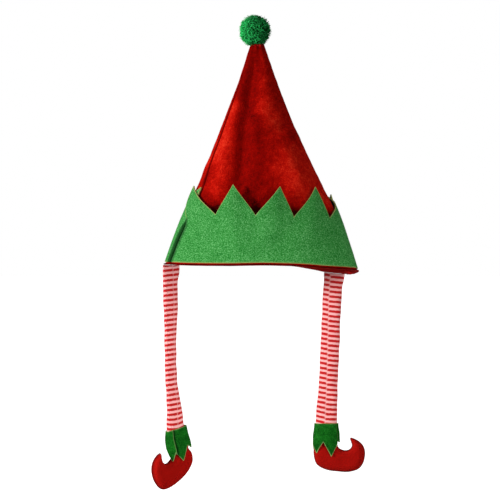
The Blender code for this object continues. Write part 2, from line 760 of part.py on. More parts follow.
def main():
    for obj in list(bpy.data.objects):
        bpy.data.objects.remove(obj, do_unlink=True)
    plush = cloth("red_plush", (0.55, 0.01, 0.01), 0.85)
    brim_felt = cloth("green_felt", (0.06, 0.30, 0.08), 0.95)
    yarn = cloth("green_yarn", (0.01, 0.16, 0.03), 0.95)
    knit = cloth("striped_knit", (0.80, 0.35, 0.36), 0.90)
    velvet = cloth("green_velvet", (0.02, 0.12, 0.02), 0.85)
    shoe_felt = cloth("red_felt", (0.30, 0.01, 0.01), 0.95)
    for panel in ("front", "back"):
        make_crown_panel(panel, plush)
        make_brim_panel(panel, brim_felt)
    make_pompom(yarn)
    for side in ("left", "right"):
        make_leg(side, knit)
        make_cuff(side, velvet)
        make_shoe(side, shoe_felt)


main()
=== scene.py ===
import math
import random
from collections import namedtuple

import bmesh
import bpy
import numpy as np
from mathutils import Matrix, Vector
from mathutils.geometry import delaunay_2d_cdt
from mathutils.kdtree import KDTree


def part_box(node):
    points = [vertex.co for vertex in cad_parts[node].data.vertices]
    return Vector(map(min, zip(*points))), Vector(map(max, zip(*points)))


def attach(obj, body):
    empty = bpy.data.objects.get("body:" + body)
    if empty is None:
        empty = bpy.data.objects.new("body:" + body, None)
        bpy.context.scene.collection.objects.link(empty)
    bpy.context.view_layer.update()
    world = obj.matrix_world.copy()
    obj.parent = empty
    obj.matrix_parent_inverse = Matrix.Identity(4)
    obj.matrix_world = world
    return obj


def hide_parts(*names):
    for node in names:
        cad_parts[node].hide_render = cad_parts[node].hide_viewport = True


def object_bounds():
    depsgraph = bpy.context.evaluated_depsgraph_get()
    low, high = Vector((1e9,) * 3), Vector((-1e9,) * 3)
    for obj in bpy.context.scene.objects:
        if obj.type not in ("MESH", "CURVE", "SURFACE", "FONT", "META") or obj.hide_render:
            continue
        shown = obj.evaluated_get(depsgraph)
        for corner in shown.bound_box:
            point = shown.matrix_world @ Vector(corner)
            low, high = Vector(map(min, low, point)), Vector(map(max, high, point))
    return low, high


# An elf hat held up as a head would hold it: plush cone, zigzag felt brim, pompom, and two striped legs
# in curled shoes. Metres, +Z up, the front faces -Y. Turns are degrees counter-clockwise seen from above,
# 0 at the right end of the rim and 270 at the front. Left and right are as seen from the front.

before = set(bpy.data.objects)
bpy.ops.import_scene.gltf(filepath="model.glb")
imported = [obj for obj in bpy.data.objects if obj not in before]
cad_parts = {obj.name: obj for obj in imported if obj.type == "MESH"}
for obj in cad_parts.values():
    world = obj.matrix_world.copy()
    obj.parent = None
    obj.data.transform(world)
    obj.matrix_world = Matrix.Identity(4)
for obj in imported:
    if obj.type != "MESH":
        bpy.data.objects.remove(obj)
cad_low, cad_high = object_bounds()

# The sizes and tables down to the shoes are those of the hat's solids, apart from what a comment names.
CROWN_HEIGHT = 0.308
RIM_WIDTH = 0.268
RIM_DEPTH = 0.120
RIM_DROOP = 0.0145  # how far the right end of the rim hangs below the left
DROOP_FADE = 4  # the droop dies out quickly above the rim
RIM_LIP_HEIGHT = 0.0024  # the bottom edge turns out under the brim
RIM_LIP_OUT = 0.003
LIP_LEVEL = 0.4  # the share of the lip's height that is upright
PLUSH_WALL = 0.002
FOLD_DEPTH = 0.007
FOLD_WIDTH = 0.010
FOLD_REACH = 0.25  # share of a panel beside each seam over which the folds die out
FOLD_NONE = 0.05  # the crown's width share where there is no fold left, near the tip
FOLD_FULL = 0.20
SEAM_ROLL = 0.0045  # how deep the panel edges roll in at a side seam
SEAM_ALLOWANCE = 0.006  # cloth that stands inward beyond the seam
SMALLEST_ALLOWANCE = 0.0015
ROOMY_WIDTH = 0.060  # a section this wide has room for the whole allowance
BRIM_HEIGHT = 0.110  # to the tooth tips
BRIM_SETBACK = 0.0036  # from the rim's edge up to the felt
FELT_WALL = 0.002
TOOTH_FLARE = 0.010
FLARE_START = 0.15  # share of the brim's height where the teeth begin to stand off
KNEE = 0.56  # share of the brim's height where the side seam ends and the teeth lean on their own
LAP_UNDER_KNEE = 0.06  # the lap begins and is full this far from the knee, as shares of the brim's height
LAP_OVER_KNEE = 0.05
LAP_ALONG = 0.16  # share of the turn along which the first tooth lies over the other panel's last one
FLANK_BOW = 0.88  # under 1, the tooth flanks bow outward
POMPOM_DIAMETER = 0.042
LEG_WIDTH = 0.032
LEG_THICKNESS = 0.011
LEG_DROP = 0.237  # from the origin's height down to the right leg's end inside its cuff
CUFF_WALL = 0.0015
CUFF_BAND = 0.026  # height down to the valleys of its zigzag
CUFF_TOOTH = 0.019
CUFF_COVERS = 0.012  # how much of the leg's end the cuff goes round
CUFF_FLARE_WIDE = 0.0018
SHOE_LENGTH = 0.073
SHOE_THICKNESS = 0.018
# Room between pieces that touch.
GAP = 0.0003
BRIM_GAP = 0.0006
LAP_GAP = 0.0008
CUFF_GAP = 0.0006
SEAT_GAP = 0.0005
# Off the solids a little: the felt rolls wider into its side seams, the cuffs stand out less to the front, and
# the shoes are full nearer to their edge.
BRIM_ROLL = 0.004
BRIM_ROLL_REACH = 0.006
# The share of the roll that is left at the knee, and how far under the knee it begins to run out.
ROLL_AT_KNEE = 0.25
ROLL_RUNS_OUT = 0.12
CUFF_FLARE_DEEP = 0.0042
SHOE_EDGE = 0.009

# Crown sections from the rim up. width and lean follow RIM_WIDTH and CROWN_HEIGHT, depth follows RIM_DEPTH,
# seam is the turn of the side seams, groove follows SEAM_ROLL.
CrownRow = namedtuple("CrownRow", "up width lean depth seam groove")
CROWN = [
    CrownRow(0.00, 1.000, 0.000, 1.000, 18, 1.00),
    CrownRow(0.10, 0.918, 0.000, 0.918, 20, 1.00),
    CrownRow(0.20, 0.827, 0.000, 0.827, 24, 1.00),
    CrownRow(0.35, 0.662, -0.004, 0.662, 25, 0.80),
    CrownRow(0.45, 0.558, -0.009, 0.558, 23, 0.50),
    CrownRow(0.56, 0.446, -0.012, 0.446, 22, 0.45),
    CrownRow(0.70, 0.314, -0.016, 0.325, 22, 0.45),
    CrownRow(0.84, 0.192, -0.016, 0.220, 22, 0.45),
    CrownRow(0.92, 0.130, -0.017, 0.165, 22, 0.45),
    CrownRow(1.00, 0.068, -0.017, 0.120, 22, 0.45),
]

# How far the rim hangs below its highest point, as a share of RIM_DROOP, once round from the right seam.
RimRow = namedtuple("RimRow", "turn drop")
RIM = [
    RimRow(18, 1.00),
    RimRow(32, 0.94),
    RimRow(47, 0.79),
    RimRow(58, 0.52),
    RimRow(73, 0.20),
    RimRow(110, 0.10),
    RimRow(150, 0.06),
    RimRow(180, 0.02),
    RimRow(200, 0.04),
    RimRow(225, 0.12),
    RimRow(250, 0.15),
    RimRow(270, 0.10),
    RimRow(290, 0.17),
    RimRow(315, 0.42),
    RimRow(360, 0.70),
    RimRow(378, 1.00),
]

# Soft folds, each along a line from its top to its foot. side is -1 left to 1 right of the crown at that
# height, up is a share of CROWN_HEIGHT, wide follows FOLD_WIDTH and deep FOLD_DEPTH, where a minus stands out.
# The first and the third are wider and softer than the solids' own.
Fold = namedtuple("Fold", "panel top_side top_up foot_side foot_up wide deep")
FOLDS = [
    Fold("front", -0.38, 0.99, -0.36, 0.34, 1.25, 0.85),
    Fold("front", -0.86, 0.80, -0.74, 0.42, 0.80, -0.45),
    Fold("front", 0.33, 0.80, 0.40, 0.72, 1.30, -0.25),
    Fold("front", 0.10, 0.57, 0.80, 0.62, 1.00, 0.45),
    Fold("front", -0.20, 0.45, 0.30, 0.36, 2.20, 0.55),
    Fold("front", 0.62, 0.50, 0.66, 0.40, 1.20, -0.35),
    Fold("back", 0.25, 0.96, 0.10, 0.45, 1.10, 0.70),
    Fold("back", -0.45, 0.70, -0.40, 0.40, 1.60, 0.45),
    Fold("back", 0.62, 0.60, 0.60, 0.40, 1.30, -0.35),
]

# Painted light and shade on the plush, in patches: along a line as for a fold, and wide in metres. A plus
# paints light, a minus paints shade.
PaintedPatch = namedtuple("PaintedPatch", "panel top_side top_up foot_side foot_up wide shade")
PAINTED_PATCHES = [
    PaintedPatch("front", -0.30, 1.00, -0.30, 0.62, 0.0150, -0.28),
    PaintedPatch("front", -0.30, 0.62, -0.26, 0.32, 0.0210, -0.22),
    PaintedPatch("front", -0.10, 0.46, 0.15, 0.30, 0.0330, -0.17),
    PaintedPatch("front", -0.86, 0.72, -0.74, 0.34, 0.0190, 0.20),
    PaintedPatch("front", -0.75, 0.28, -0.55, 0.20, 0.0200, -0.16),
    PaintedPatch("front", -0.82, 0.42, -0.80, 0.25, 0.0110, -0.20),
    PaintedPatch("front", -0.80, 1.00, -0.75, 0.76, 0.0100, -0.20),
    PaintedPatch("front", 0.20, 0.70, 0.50, 0.65, 0.0150, 0.20),
    PaintedPatch("front", 0.20, 0.82, 0.50, 0.77, 0.0090, 0.08),
    PaintedPatch("front", 0.20, 0.53, 0.75, 0.58, 0.0085, -0.08),
    PaintedPatch("front", 0.60, 0.44, 0.70, 0.26, 0.0340, 0.18),
    PaintedPatch("front", 0.30, 0.95, 0.40, 0.84, 0.0090, 0.07),
    PaintedPatch("back", 0.25, 0.96, 0.10, 0.45, 0.0160, -0.22),
    PaintedPatch("back", -0.45, 0.70, -0.40, 0.35, 0.0230, -0.16),
    PaintedPatch("back", 0.62, 0.62, 0.60, 0.38, 0.0200, 0.18),
    PaintedPatch("back", -0.75, 0.45, -0.20, 0.25, 0.0200, 0.14),
]

# Corners of the brim's zigzag from a panel's left end to its right, as its own viewer sees it: foot and along
# are shares of the half turn, at the knee and at the corner, high follows BRIM_HEIGHT and flare TOOTH_FLARE.
Corner = namedtuple("Corner", "foot along high flare")
OTHER_PANEL = {"front": "back", "back": "front"}
BRIM_CORNERS = {
    "front": [
        Corner(0.000, -0.090, 0.995, 0.42),
        Corner(0.173, 0.173, 0.617, 0.10),
        Corner(0.253, 0.227, 1.008, 0.32),
        Corner(0.342, 0.342, 0.604, 0.10),
        Corner(0.420, 0.455, 0.981, 0.34),
        Corner(0.498, 0.498, 0.586, 0.12),
        Corner(0.582, 0.665, 0.989, 0.42),
        Corner(0.688, 0.688, 0.594, 0.40),
        Corner(1.000, 1.000, 0.940, 0.27),
    ],
    "back": [
        Corner(0.000, -0.100, 0.910, 0.36),
        Corner(0.180, 0.180, 0.600, 0.18),
        Corner(0.264, 0.270, 0.980, 0.50),
        Corner(0.348, 0.348, 0.615, 0.14),
        Corner(0.430, 0.440, 1.000, 0.40),
        Corner(0.510, 0.510, 0.610, 0.12),
        Corner(0.600, 0.640, 0.990, 0.30),
        Corner(0.715, 0.715, 0.620, 0.10),
        Corner(1.000, 1.000, 0.975, 0.04),
    ],
}

# Leg sections from the rim down. side is the sideways drift as a share of LEG_DROP, wide and thick follow
# LEG_WIDTH and LEG_THICKNESS, twist is the turn of the section's long side. drop follows LEG_DROP, lean is the
# foot's in degrees, and toe is the way it points along the section's long side.
LegRow = namedtuple("LegRow", "down side wide thick twist")
Leg = namedtuple("Leg", "rim_turn drop lean toe rows")
LEGS = {
    "left": Leg(
        rim_turn=159, drop=1.027, lean=14, toe=-1,
        rows=[
            LegRow(0.00, 0.000, 0.97, 0.45, 45),
            LegRow(0.05, -0.002, 0.95, 0.70, 45),
            LegRow(0.13, -0.005, 0.89, 0.95, 48),
            LegRow(0.28, -0.004, 0.86, 1.00, 51),
            LegRow(0.43, -0.005, 0.86, 1.00, 62),
            LegRow(0.56, -0.004, 0.86, 1.00, 63),
            LegRow(0.68, 0.001, 0.86, 1.00, 61),
            LegRow(0.81, 0.014, 0.89, 1.03, 54),
            LegRow(0.91, 0.021, 0.92, 1.10, 40),
            LegRow(1.00, 0.031, 0.92, 1.15, 31),
        ],
    ),
    "right": Leg(
        rim_turn=40, drop=1.0, lean=0, toe=1,
        rows=[
            LegRow(0.00, 0.000, 0.98, 0.45, -25),
            LegRow(0.05, -0.003, 0.94, 0.70, -22),
            LegRow(0.10, -0.008, 0.87, 0.95, -16),
            LegRow(0.27, -0.018, 0.82, 1.00, -8),
            LegRow(0.46, -0.025, 0.86, 1.00, -4),
            LegRow(0.65, -0.033, 0.83, 1.00, 0),
            LegRow(0.82, -0.041, 0.90, 1.05, 0),
            LegRow(0.93, -0.046, 0.95, 1.10, 0),
            LegRow(1.00, -0.047, 0.96, 1.15, 0),
        ],
    ),
}

# Teeth of a cuff, by the turn of their tips in the cuff's own section, and their reach, a share of CUFF_TOOTH.
# The left cuff's last one is shorter than the solid's.
CuffTooth = namedtuple("CuffTooth", "turn reach")
CUFF_TEETH = {
    "left": [
        CuffTooth(46, 0.80), CuffTooth(118, 0.30), CuffTooth(207, 0.92), CuffTooth(259, 0.98),
        CuffTooth(334, 0.30),
    ],
    "right": [
        CuffTooth(7, 0.10), CuffTooth(79, 0.90), CuffTooth(151, 0.85), CuffTooth(221, 0.88),
        CuffTooth(291, 1.12),
    ],
}

# Shoe outlines from the top of the heel side, at the leg's end, round the sole to the toe and back up the
# instep: toward the toe and below the leg's end, as shares of SHOE_LENGTH.
SHOES = {
    "left": [
        (-0.16, 0), (-0.20, 0.06), (-0.235, 0.15), (-0.255, 0.22), (-0.32, 0.30), (-0.345, 0.40),
        (-0.335, 0.52), (-0.25, 0.67), (-0.10, 0.82), (0.08, 0.94), (0.22, 0.997), (0.33, 0.997),
        (0.42, 0.94), (0.50, 0.82), (0.54, 0.68), (0.54, 0.56), (0.51, 0.45), (0.45, 0.36),
        (0.375, 0.297), (0.34, 0.327), (0.335, 0.39), (0.31, 0.46), (0.26, 0.507), (0.20, 0.487),
        (0.14, 0.432), (0.09, 0.332), (0.10, 0.16), (0.15, 0),
    ],
    "right": [
        (-0.17, 0), (-0.20, 0.075), (-0.215, 0.225), (-0.25, 0.375), (-0.235, 0.525), (-0.19, 0.635),
        (-0.09, 0.71), (0.06, 0.76), (0.235, 0.78), (0.38, 0.79), (0.505, 0.775), (0.63, 0.725),
        (0.71, 0.625), (0.745, 0.505), (0.75, 0.38), (0.71, 0.27), (0.625, 0.185), (0.53, 0.135),
        (0.47, 0.12), (0.46, 0.15), (0.48, 0.21), (0.495, 0.27), (0.475, 0.32), (0.43, 0.355),
        (0.355, 0.365), (0.285, 0.345), (0.225, 0.295), (0.205, 0.175), (0.18, 0),
    ],
}

# How the plush is laid.
PLUSH_COLUMNS = 120
PLUSH_ROWS = 150
ROLL_TURNS = (15, 30, 45, 60, 75, 90)  # degrees round the rolled edge of a seam, from the face inward
PILE_LUMP = 0.00025  # height of the soft unevenness of the whole cloth
DARKEST_PATCH = -0.22  # the darkest that the patches alone paint the plush
NOTCH_WIDE = 0.0105  # how far round a notch of the brim the plush tucks in behind it, and how deep
NOTCH_DEEP = 0.0036
NOTCH_SQUAT = 0.7  # under 1, the tuck is taller than wide
NOTCH_SHADE = 1.0  # how dark the painted shade is where the plush tucks in at a notch, and below on the lip and in a seam
LIP_SHADE = 0.5
SEAM_SHADE = 0.2
TIP_CLOSING = ((0.80, 0.0006), (0.50, 0.0016), (0.20, 0.0030))  # how far the gathered top draws in and sinks
TIP_PLEATS = 9
PLEAT_DEPTH = 0.0005

# How the felt brim is laid.
FELT_STEP = 0.0075  # widest share of the half turn between two columns, of which a flank has 12 at least
FELT_BAND_ROWS = 22
FELT_TOOTH_ROWS = 20
FELT_WAVE = 0.0009
FELT_ROUND = 0.3  # metres that a panel covers round the rim, roughly
TEETH_TURNED = 0.004  # how far the middle of the front stands out, which turns the teeth beside it away
TEETH_TURNED_WIDE = 0.036
FELT_SEAM_SHADE = {"front": (0.0014, 0.50), "back": (0.0021, 0.80)}  # how wide and how dark the painted shade of a panel is beside its seams
LAP_BOW = 0.05  # how far the lapped tooth's edge bows over the seam
CUT_LINE = 0.0011  # width of the pale line along a cut edge
# Soft ridges of the front felt: a place across and up that each runs through, its slant, width and rise.
Ridge = namedtuple("Ridge", "across level slant wide rise")
FELT_RIDGES = [
    Ridge(-0.042, 0.060, 0.25, 0.024, 0.0046),
    Ridge(0.006, 0.090, 0.00, 0.019, 0.0022),
    Ridge(-0.098, 0.035, -1.00, 0.013, 0.0020),
    Ridge(0.010, 0.040, -1.10, 0.016, 0.0009),
    Ridge(0.062, 0.050, -0.60, 0.018, 0.0009),
]

# How the legs, cuffs, shoes and pompom are laid.
LEG_SIDES = 96
LEG_ROWS = 170
LEG_LUMP = 0.0005  # height of the stuffing's lumps
LEG_GROOVE = 0.0004  # how deep the seam lies
PUCKER_DEPTH = 0.00022
PUCKER_PITCH = 0.0032  # one stitch of the seam to the next
CUFF_COLUMNS = 300
CUFF_ROWS = 44
CUFF_SEAMS = {"left": (238, 358), "right": (324, 144)}  # turns round the ankle where one half laps the other
CUFF_LAP_OVER = 0.0007
CUFF_LAP_UNDER = 0.0005
CUFF_WAVE = 0.0004
CUFF_CUT_LINE = 0.0010
SHOE_GRID = 0.0015
SHOE_SEAM = 0.0011  # width of the seam round a shoe, where the two halves meet
SHOE_RIM = 0.0006  # half the thickness of that seam
SHOE_DIMPLE = 0.0005
YARN_STRANDS = 2600
YARN_ROOT = 0.55  # where a strand comes out of the thick of the ball, as a share of its radius
YARN_DROOP = 0.0009  # how far the lowest strands hang
POMPOM_MIDDLE = 0.435  # height of the ball's middle over its foot, as a share of its diameter


# Shapes shared with the solids
def read(table, column, at):
    """A table's column along its first one, on a smooth curve that never overshoots."""
    keys = np.array([row[0] for row in table], float)
    values = np.array([getattr(row, column) for row in table], float)
    steps = np.diff(values) / np.diff(keys)
    same_way = steps[:-1] * steps[1:] > 0
    both = np.where(same_way, steps[:-1] + steps[1:], 1.0)
    middle = np.where(same_way, 2 * steps[:-1] * steps[1:] / both, 0.0)
    slopes = np.concatenate([steps[:1], middle, steps[-1:]])
    at = np.clip(at, keys[0], keys[-1])
    i = np.clip(np.searchsorted(keys, at, side="right") - 1, 0, len(keys) - 2)
    span = keys[i + 1] - keys[i]
    t = (at - keys[i]) / span
    return (
        values[i] * (1 + 2 * t) * (1 - t) ** 2
        + values[i + 1] * t * t * (3 - 2 * t)
        + slopes[i] * span * t * (1 - t) ** 2
        - slopes[i + 1] * span * t * t * (1 - t)
    )


def ease(x, start, end):
    """0 before start and 1 after end, with a soft step between them."""
    t = np.clip((x - start) / (end - start), 0.0, 1.0)
    return t * t * (3 - 2 * t)


def bump(x, middle, width):
    """1 at the middle, falling softly to nothing over the width."""
    return np.exp(-(((x - middle) / width) ** 2))


def rim_drop(turn):
    """How far the rim hangs below its highest place."""
    first = RIM[0].turn
    return RIM_DROOP * read(RIM, "drop", first + np.mod(turn - first, 360))


def seam_turns(panel, up):
    """Where a panel starts and ends, round the crown."""
    seam = read(CROWN, "seam", up)
    start = 180 + seam if panel == "front" else seam
    return start, start + 180


def crown_size(up):
    """Half the crown's width and half its depth."""
    half_width = RIM_WIDTH / 2 * read(CROWN, "width", up)
    half_depth = RIM_DEPTH / 2 * read(CROWN, "depth", up)
    return half_width, half_depth


def crown_point(turn, up, out=0.0):
    """Points of the crown's plain outer face, or a distance out from it."""
    angle = np.radians(turn)
    half_width, half_depth = crown_size(up)
    face_x, face_y = np.cos(angle) / half_width, np.sin(angle) / half_depth
    length = np.hypot(face_x, face_y)
    x = half_width * np.cos(angle) + CROWN_HEIGHT * read(CROWN, "lean", up) + out * face_x / length
    y = half_depth * np.sin(angle) + out * face_y / length
    z = CROWN_HEIGHT * up - rim_drop(turn) * (1 - up) ** DROOP_FADE
    return np.stack(np.broadcast_arrays(x, y, z), axis=-1)


def turn_for(distance, turn, up):
    """The turn that covers a distance along the crown's face."""
    angle = np.radians(turn)
    half_width, half_depth = crown_size(up)
    return np.degrees(distance / np.hypot(half_width * np.sin(angle), half_depth * np.cos(angle)))


def beside(line, x, up):
    """How far places on the crown are from a line of one of its tables, seen from the front."""
    ends = []
    for side, height in ((line.top_side, line.top_up), (line.foot_side, line.foot_up)):
        middle = CROWN_HEIGHT * read(CROWN, "lean", height)
        ends.append((middle + side * crown_size(height)[0], CROWN_HEIGHT * height))
    (top_x, top_z), (foot_x, foot_z) = ends
    line_x, line_z = foot_x - top_x, foot_z - top_z
    z = CROWN_HEIGHT * up
    t = np.clip(((x - top_x) * line_x + (z - top_z) * line_z) / (line_x**2 + line_z**2), 0.0, 1.0)
    return np.hypot(x - top_x - t * line_x, z - top_z - t * line_z)


def fold_depth(panel, x, up):
    """How far the folds push the crown in."""
    total = 0.0
    for fold in FOLDS:
        if fold.panel == panel:
            total = total + FOLD_DEPTH * fold.deep * bump(beside(fold, x, up), 0, FOLD_WIDTH * fold.wide)
    return total * ease(read(CROWN, "width", up), FOLD_NONE, FOLD_FULL)


def patch_light(panel, x, up):
    """Painted light and shade of the plush: up to 1 for painted light, down to -1 for painted shade."""
    total = sum(row.shade * bump(beside(row, x, up), 0, row.wide) for row in PAINTED_PATCHES if row.panel == panel)
    return np.maximum(total, DARKEST_PATCH)


def notch(panel, points):
    """1 where the plush tucks in behind the bottom of a notch between two teeth, falling to 0 beside it."""
    start, end = seam_turns(panel, BRIM_HEIGHT / CROWN_HEIGHT * 0.6)
    total = 0.0
    for corner in BRIM_CORNERS[panel][1::2]:
        bottom = crown_point(start + (end - start) * corner.along, BRIM_HEIGHT / CROWN_HEIGHT * corner.high)
        away = np.linalg.norm((points - bottom) * [1, 1, NOTCH_SQUAT], axis=-1)
        total = np.maximum(total, bump(away, 0, NOTCH_WIDE))
    return total


def rolled_edge(turn, up, toward, reach, roll, allowance, out):
    """Points from a panel's face round its rolled edge into a side seam, and on along the allowance."""
    points = []
    for degrees in ROLL_TURNS:
        angle = math.radians(degrees)
        distance = GAP / 2 + reach * (1 - math.sin(angle))
        at = turn + toward * turn_for(distance, turn, up)
        points.append(crown_point(at, up, out - roll * (1 - math.cos(angle))))
    if allowance:
        at = turn + toward * turn_for(GAP / 2, turn, up)
        points += [crown_point(at, up, out - roll - allowance * share) for share in (0.3, 0.65, 1.0)]
    return np.array(points)


def lumps(points, size, seed):
    """Soft random rise and fall from -1 to 1 over a surface, as coarse as the size."""
    rng = np.random.default_rng(seed)
    total = np.zeros(points.shape[:-1])
    for _ in range(14):
        way = rng.normal(size=3)
        way /= np.linalg.norm(way)
        pitch = size * rng.uniform(0.6, 1.8)
        total += np.sin(points @ way * (2 * math.pi / pitch) + rng.uniform(0, 2 * math.pi))
    return total / 4.5


# Cutting and sewing
def cut_cloth(name, points, finishes, ring=False, paint=None):
    """A sheet of four-sided faces over rows and columns of points, lowest row first. Points that are not a
    number are left out, and paint holds the values that the finish reads."""
    rows, columns = points.shape[:2]
    index = np.arange(rows * columns).reshape(rows, columns)
    following = np.roll(index, -1, axis=1)
    faces = np.stack([index[:-1], following[:-1], following[1:], index[1:]], axis=-1)
    faces = (faces if ring else faces[:, :-1]).reshape(-1, 4)
    places = points.reshape(-1, 3)
    faces = faces[~np.isnan(places[faces, 0]).any(axis=1)]
    used = np.zeros(len(places), bool)
    used[faces] = True
    number = np.cumsum(used) - 1
    painted = {
        key: np.broadcast_to(values, (rows, columns)).reshape(-1)[used]
        for key, values in (paint or {}).items()
    }
    return stitch(name, places[used], number[faces].tolist(), finishes, painted)


def stitch(name, places, faces, finishes, paint=None):
    """A smooth mesh in the scene, with its finishes and the values that they read."""
    mesh = bpy.data.meshes.new(name)
    mesh.from_pydata([tuple(spot) for spot in places], [], faces)
    for key, values in (paint or {}).items():
        layer = mesh.attributes.new(key, "FLOAT", "POINT")
        layer.data.foreach_set("value", np.asarray(values, np.float32))
    for finish in finishes:
        mesh.materials.append(finish)
    mesh.shade_smooth()
    piece = bpy.data.objects.new(name, mesh)
    bpy.context.scene.collection.objects.link(piece)
    return piece


def give_wall(piece, wall):
    """The sheet is the outer face. The wall grows inward, with the second finish inside and the last one on
    its cut edges."""
    thickness = piece.modifiers.new("Wall", "SOLIDIFY")
    thickness.thickness = wall
    thickness.offset = -1
    thickness.use_even_offset = True
    thickness.use_quality_normals = True
    thickness.material_offset = 1
    thickness.material_offset_rim = len(piece.data.materials) - 1


def cut_line(points, edges, width):
    """1 on a cut edge, falling to 0 over the width beside it."""
    tree = KDTree(len(edges))
    for i, place in enumerate(edges):
        tree.insert(place, i)
    tree.balance()
    flat = points.reshape(-1, 3)
    near = [9.0 if np.isnan(place[0]) else tree.find(place)[2] for place in flat]
    return (1 - ease(np.array(near), 0.25 * width, width)).reshape(points.shape[:-1])


def place(piece, solid, slot):
    """Puts a piece in the hat, over the solid that it is the cloth of."""
    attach(piece, "root")
    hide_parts(solid)
    return piece


# The crown
def plush_panel(panel, finishes):
    """Half of the plush cone: its folds, rolled side seams, turned-out rim and gathered tip."""
    lip = RIM_LIP_HEIGHT / CROWN_HEIGHT
    ups = [0.0, lip * LIP_LEVEL * 0.5, lip * LIP_LEVEL, lip * 0.7]
    ups += [lip + (1 - lip) * i / PLUSH_ROWS for i in range(PLUSH_ROWS + 1)]
    across = np.linspace(0.0, 1.0, PLUSH_COLUMNS + 1)
    rows, painted_light = [], []
    for up in ups:
        start, end = seam_turns(panel, up)
        roll = SEAM_ROLL * read(CROWN, "groove", up)
        roomy = min(1.0, RIM_WIDTH * read(CROWN, "width", up) / ROOMY_WIDTH)
        allowance = max(SEAM_ALLOWANCE * roomy, SMALLEST_ALLOWANCE)
        out = RIM_LIP_OUT * float(1 - np.clip((up / lip - LIP_LEVEL) / (1 - LIP_LEVEL), 0, 1))
        first = start + turn_for(roll + GAP / 2, start, up)
        last = end - turn_for(roll + GAP / 2, end, up)
        turn = first + (last - first) * across
        flat = crown_point(turn, up)
        depth = fold_depth(panel, flat[:, 0], up) * np.minimum(1.0, np.minimum(across, 1 - across) / FOLD_REACH)
        pleat = PLEAT_DEPTH * np.cos(np.radians(turn) * TIP_PLEATS) * ease(up, 0.90, 1.0)
        tuck_and_shade = notch(panel, flat)
        lump = PILE_LUMP * lumps(flat, 0.013, 3)
        face = crown_point(turn, up, out - depth - pleat - NOTCH_DEEP * tuck_and_shade + lump)
        left = rolled_edge(start, up, 1, roll, roll, allowance, out)[::-1]
        right = rolled_edge(end, up, -1, roll, roll, allowance, out)
        rows.append(np.concatenate([left, face, right]))
        # Painted light and shade: the patches, painted shade where the plush tucks in at a notch, on the lip
        # and, below, in the seams.
        lean = patch_light(panel, flat[:, 0], up) - NOTCH_SHADE * tuck_and_shade - LIP_SHADE * (up < lip)
        painted_light.append(np.concatenate([np.full(len(left), -SEAM_SHADE), lean, np.full(len(right), -SEAM_SHADE)]))
    middle = np.mean(rows[-1], axis=0)
    for shrink, sink in TIP_CLOSING:
        drawn = middle + (rows[len(ups) - 1] - middle) * shrink
        drawn[:, 2] -= sink
        rows.append(drawn)
        painted_light.append(painted_light[-1])
    piece = cut_cloth(f"plush_{panel}", np.array(rows), finishes, paint={"painted_light": np.array(painted_light)})
    give_wall(piece, PLUSH_WALL)
    place(piece, f"crown_{panel}", "red_plush")
    return piece


# The brim
def brim_out(panel, along, high, flare):
    """How far the felt stands off the crown. The first tooth lies over the other panel's last one."""
    rise = ease(high, FLARE_START, 1.0)
    lap = ease(high, KNEE - LAP_UNDER_KNEE, KNEE + LAP_OVER_KNEE) * (1 - ease(along, 0.0, LAP_ALONG))
    last_tooth = TOOTH_FLARE * BRIM_CORNERS[OTHER_PANEL[panel]][-1].flare
    over = lap * np.maximum(FELT_WALL + LAP_GAP + last_tooth - TOOTH_FLARE * flare * rise, 0.0)
    return BRIM_GAP + FELT_WALL + TOOTH_FLARE * flare * rise + over


def brim_roll(high):
    """Reach and depth of the felt's roll into a side seam. It runs out where the teeth come free."""
    share = 1 - (1 - ROLL_AT_KNEE) * ease(high, KNEE - ROLL_RUNS_OUT, KNEE)
    return BRIM_ROLL_REACH * share, BRIM_ROLL * share


def zigzag(corners, at):
    """Foot, along, height and flare of the brim's top edge, at counts the corners."""
    i = min(int(at), len(corners) - 2)
    t = at - i
    low, high = (corners[i + 1], corners[i]) if i % 2 == 0 else (corners[i], corners[i + 1])
    climb = (1 - t if i % 2 == 0 else t) ** FLANK_BOW
    here, beyond = corners[i], corners[i + 1]
    foot = here.foot + (beyond.foot - here.foot) * t
    along = here.along + (beyond.along - here.along) * t
    flare = here.flare + (beyond.flare - here.flare) * t
    return foot, along, low.high + (high.high - low.high) * climb, flare


def felt_ends(panel, ups, highs):
    """A felt panel's ends, row by row: rolled into the side seams up to the knee, and nothing above it."""
    corners = BRIM_CORNERS[panel]
    nothing = np.full((len(ROLL_TURNS), 3), np.nan)
    lefts, rights = [], []
    for up, high in zip(ups[:FELT_BAND_ROWS + 1], highs):
        start, end = seam_turns(panel, up)
        reach, roll = brim_roll(high)
        left_out = brim_out(panel, 0.0, high, corners[0].flare)
        right_out = brim_out(panel, 1.0, high, corners[-1].flare)
        lefts.append(rolled_edge(start, up, 1, reach, roll, 0.0, left_out)[::-1])
        rights.append(rolled_edge(end, up, -1, reach, roll, 0.0, right_out))
    above = [nothing] * (len(ups) - len(lefts))
    return np.array(lefts + above), np.array(rights + above)


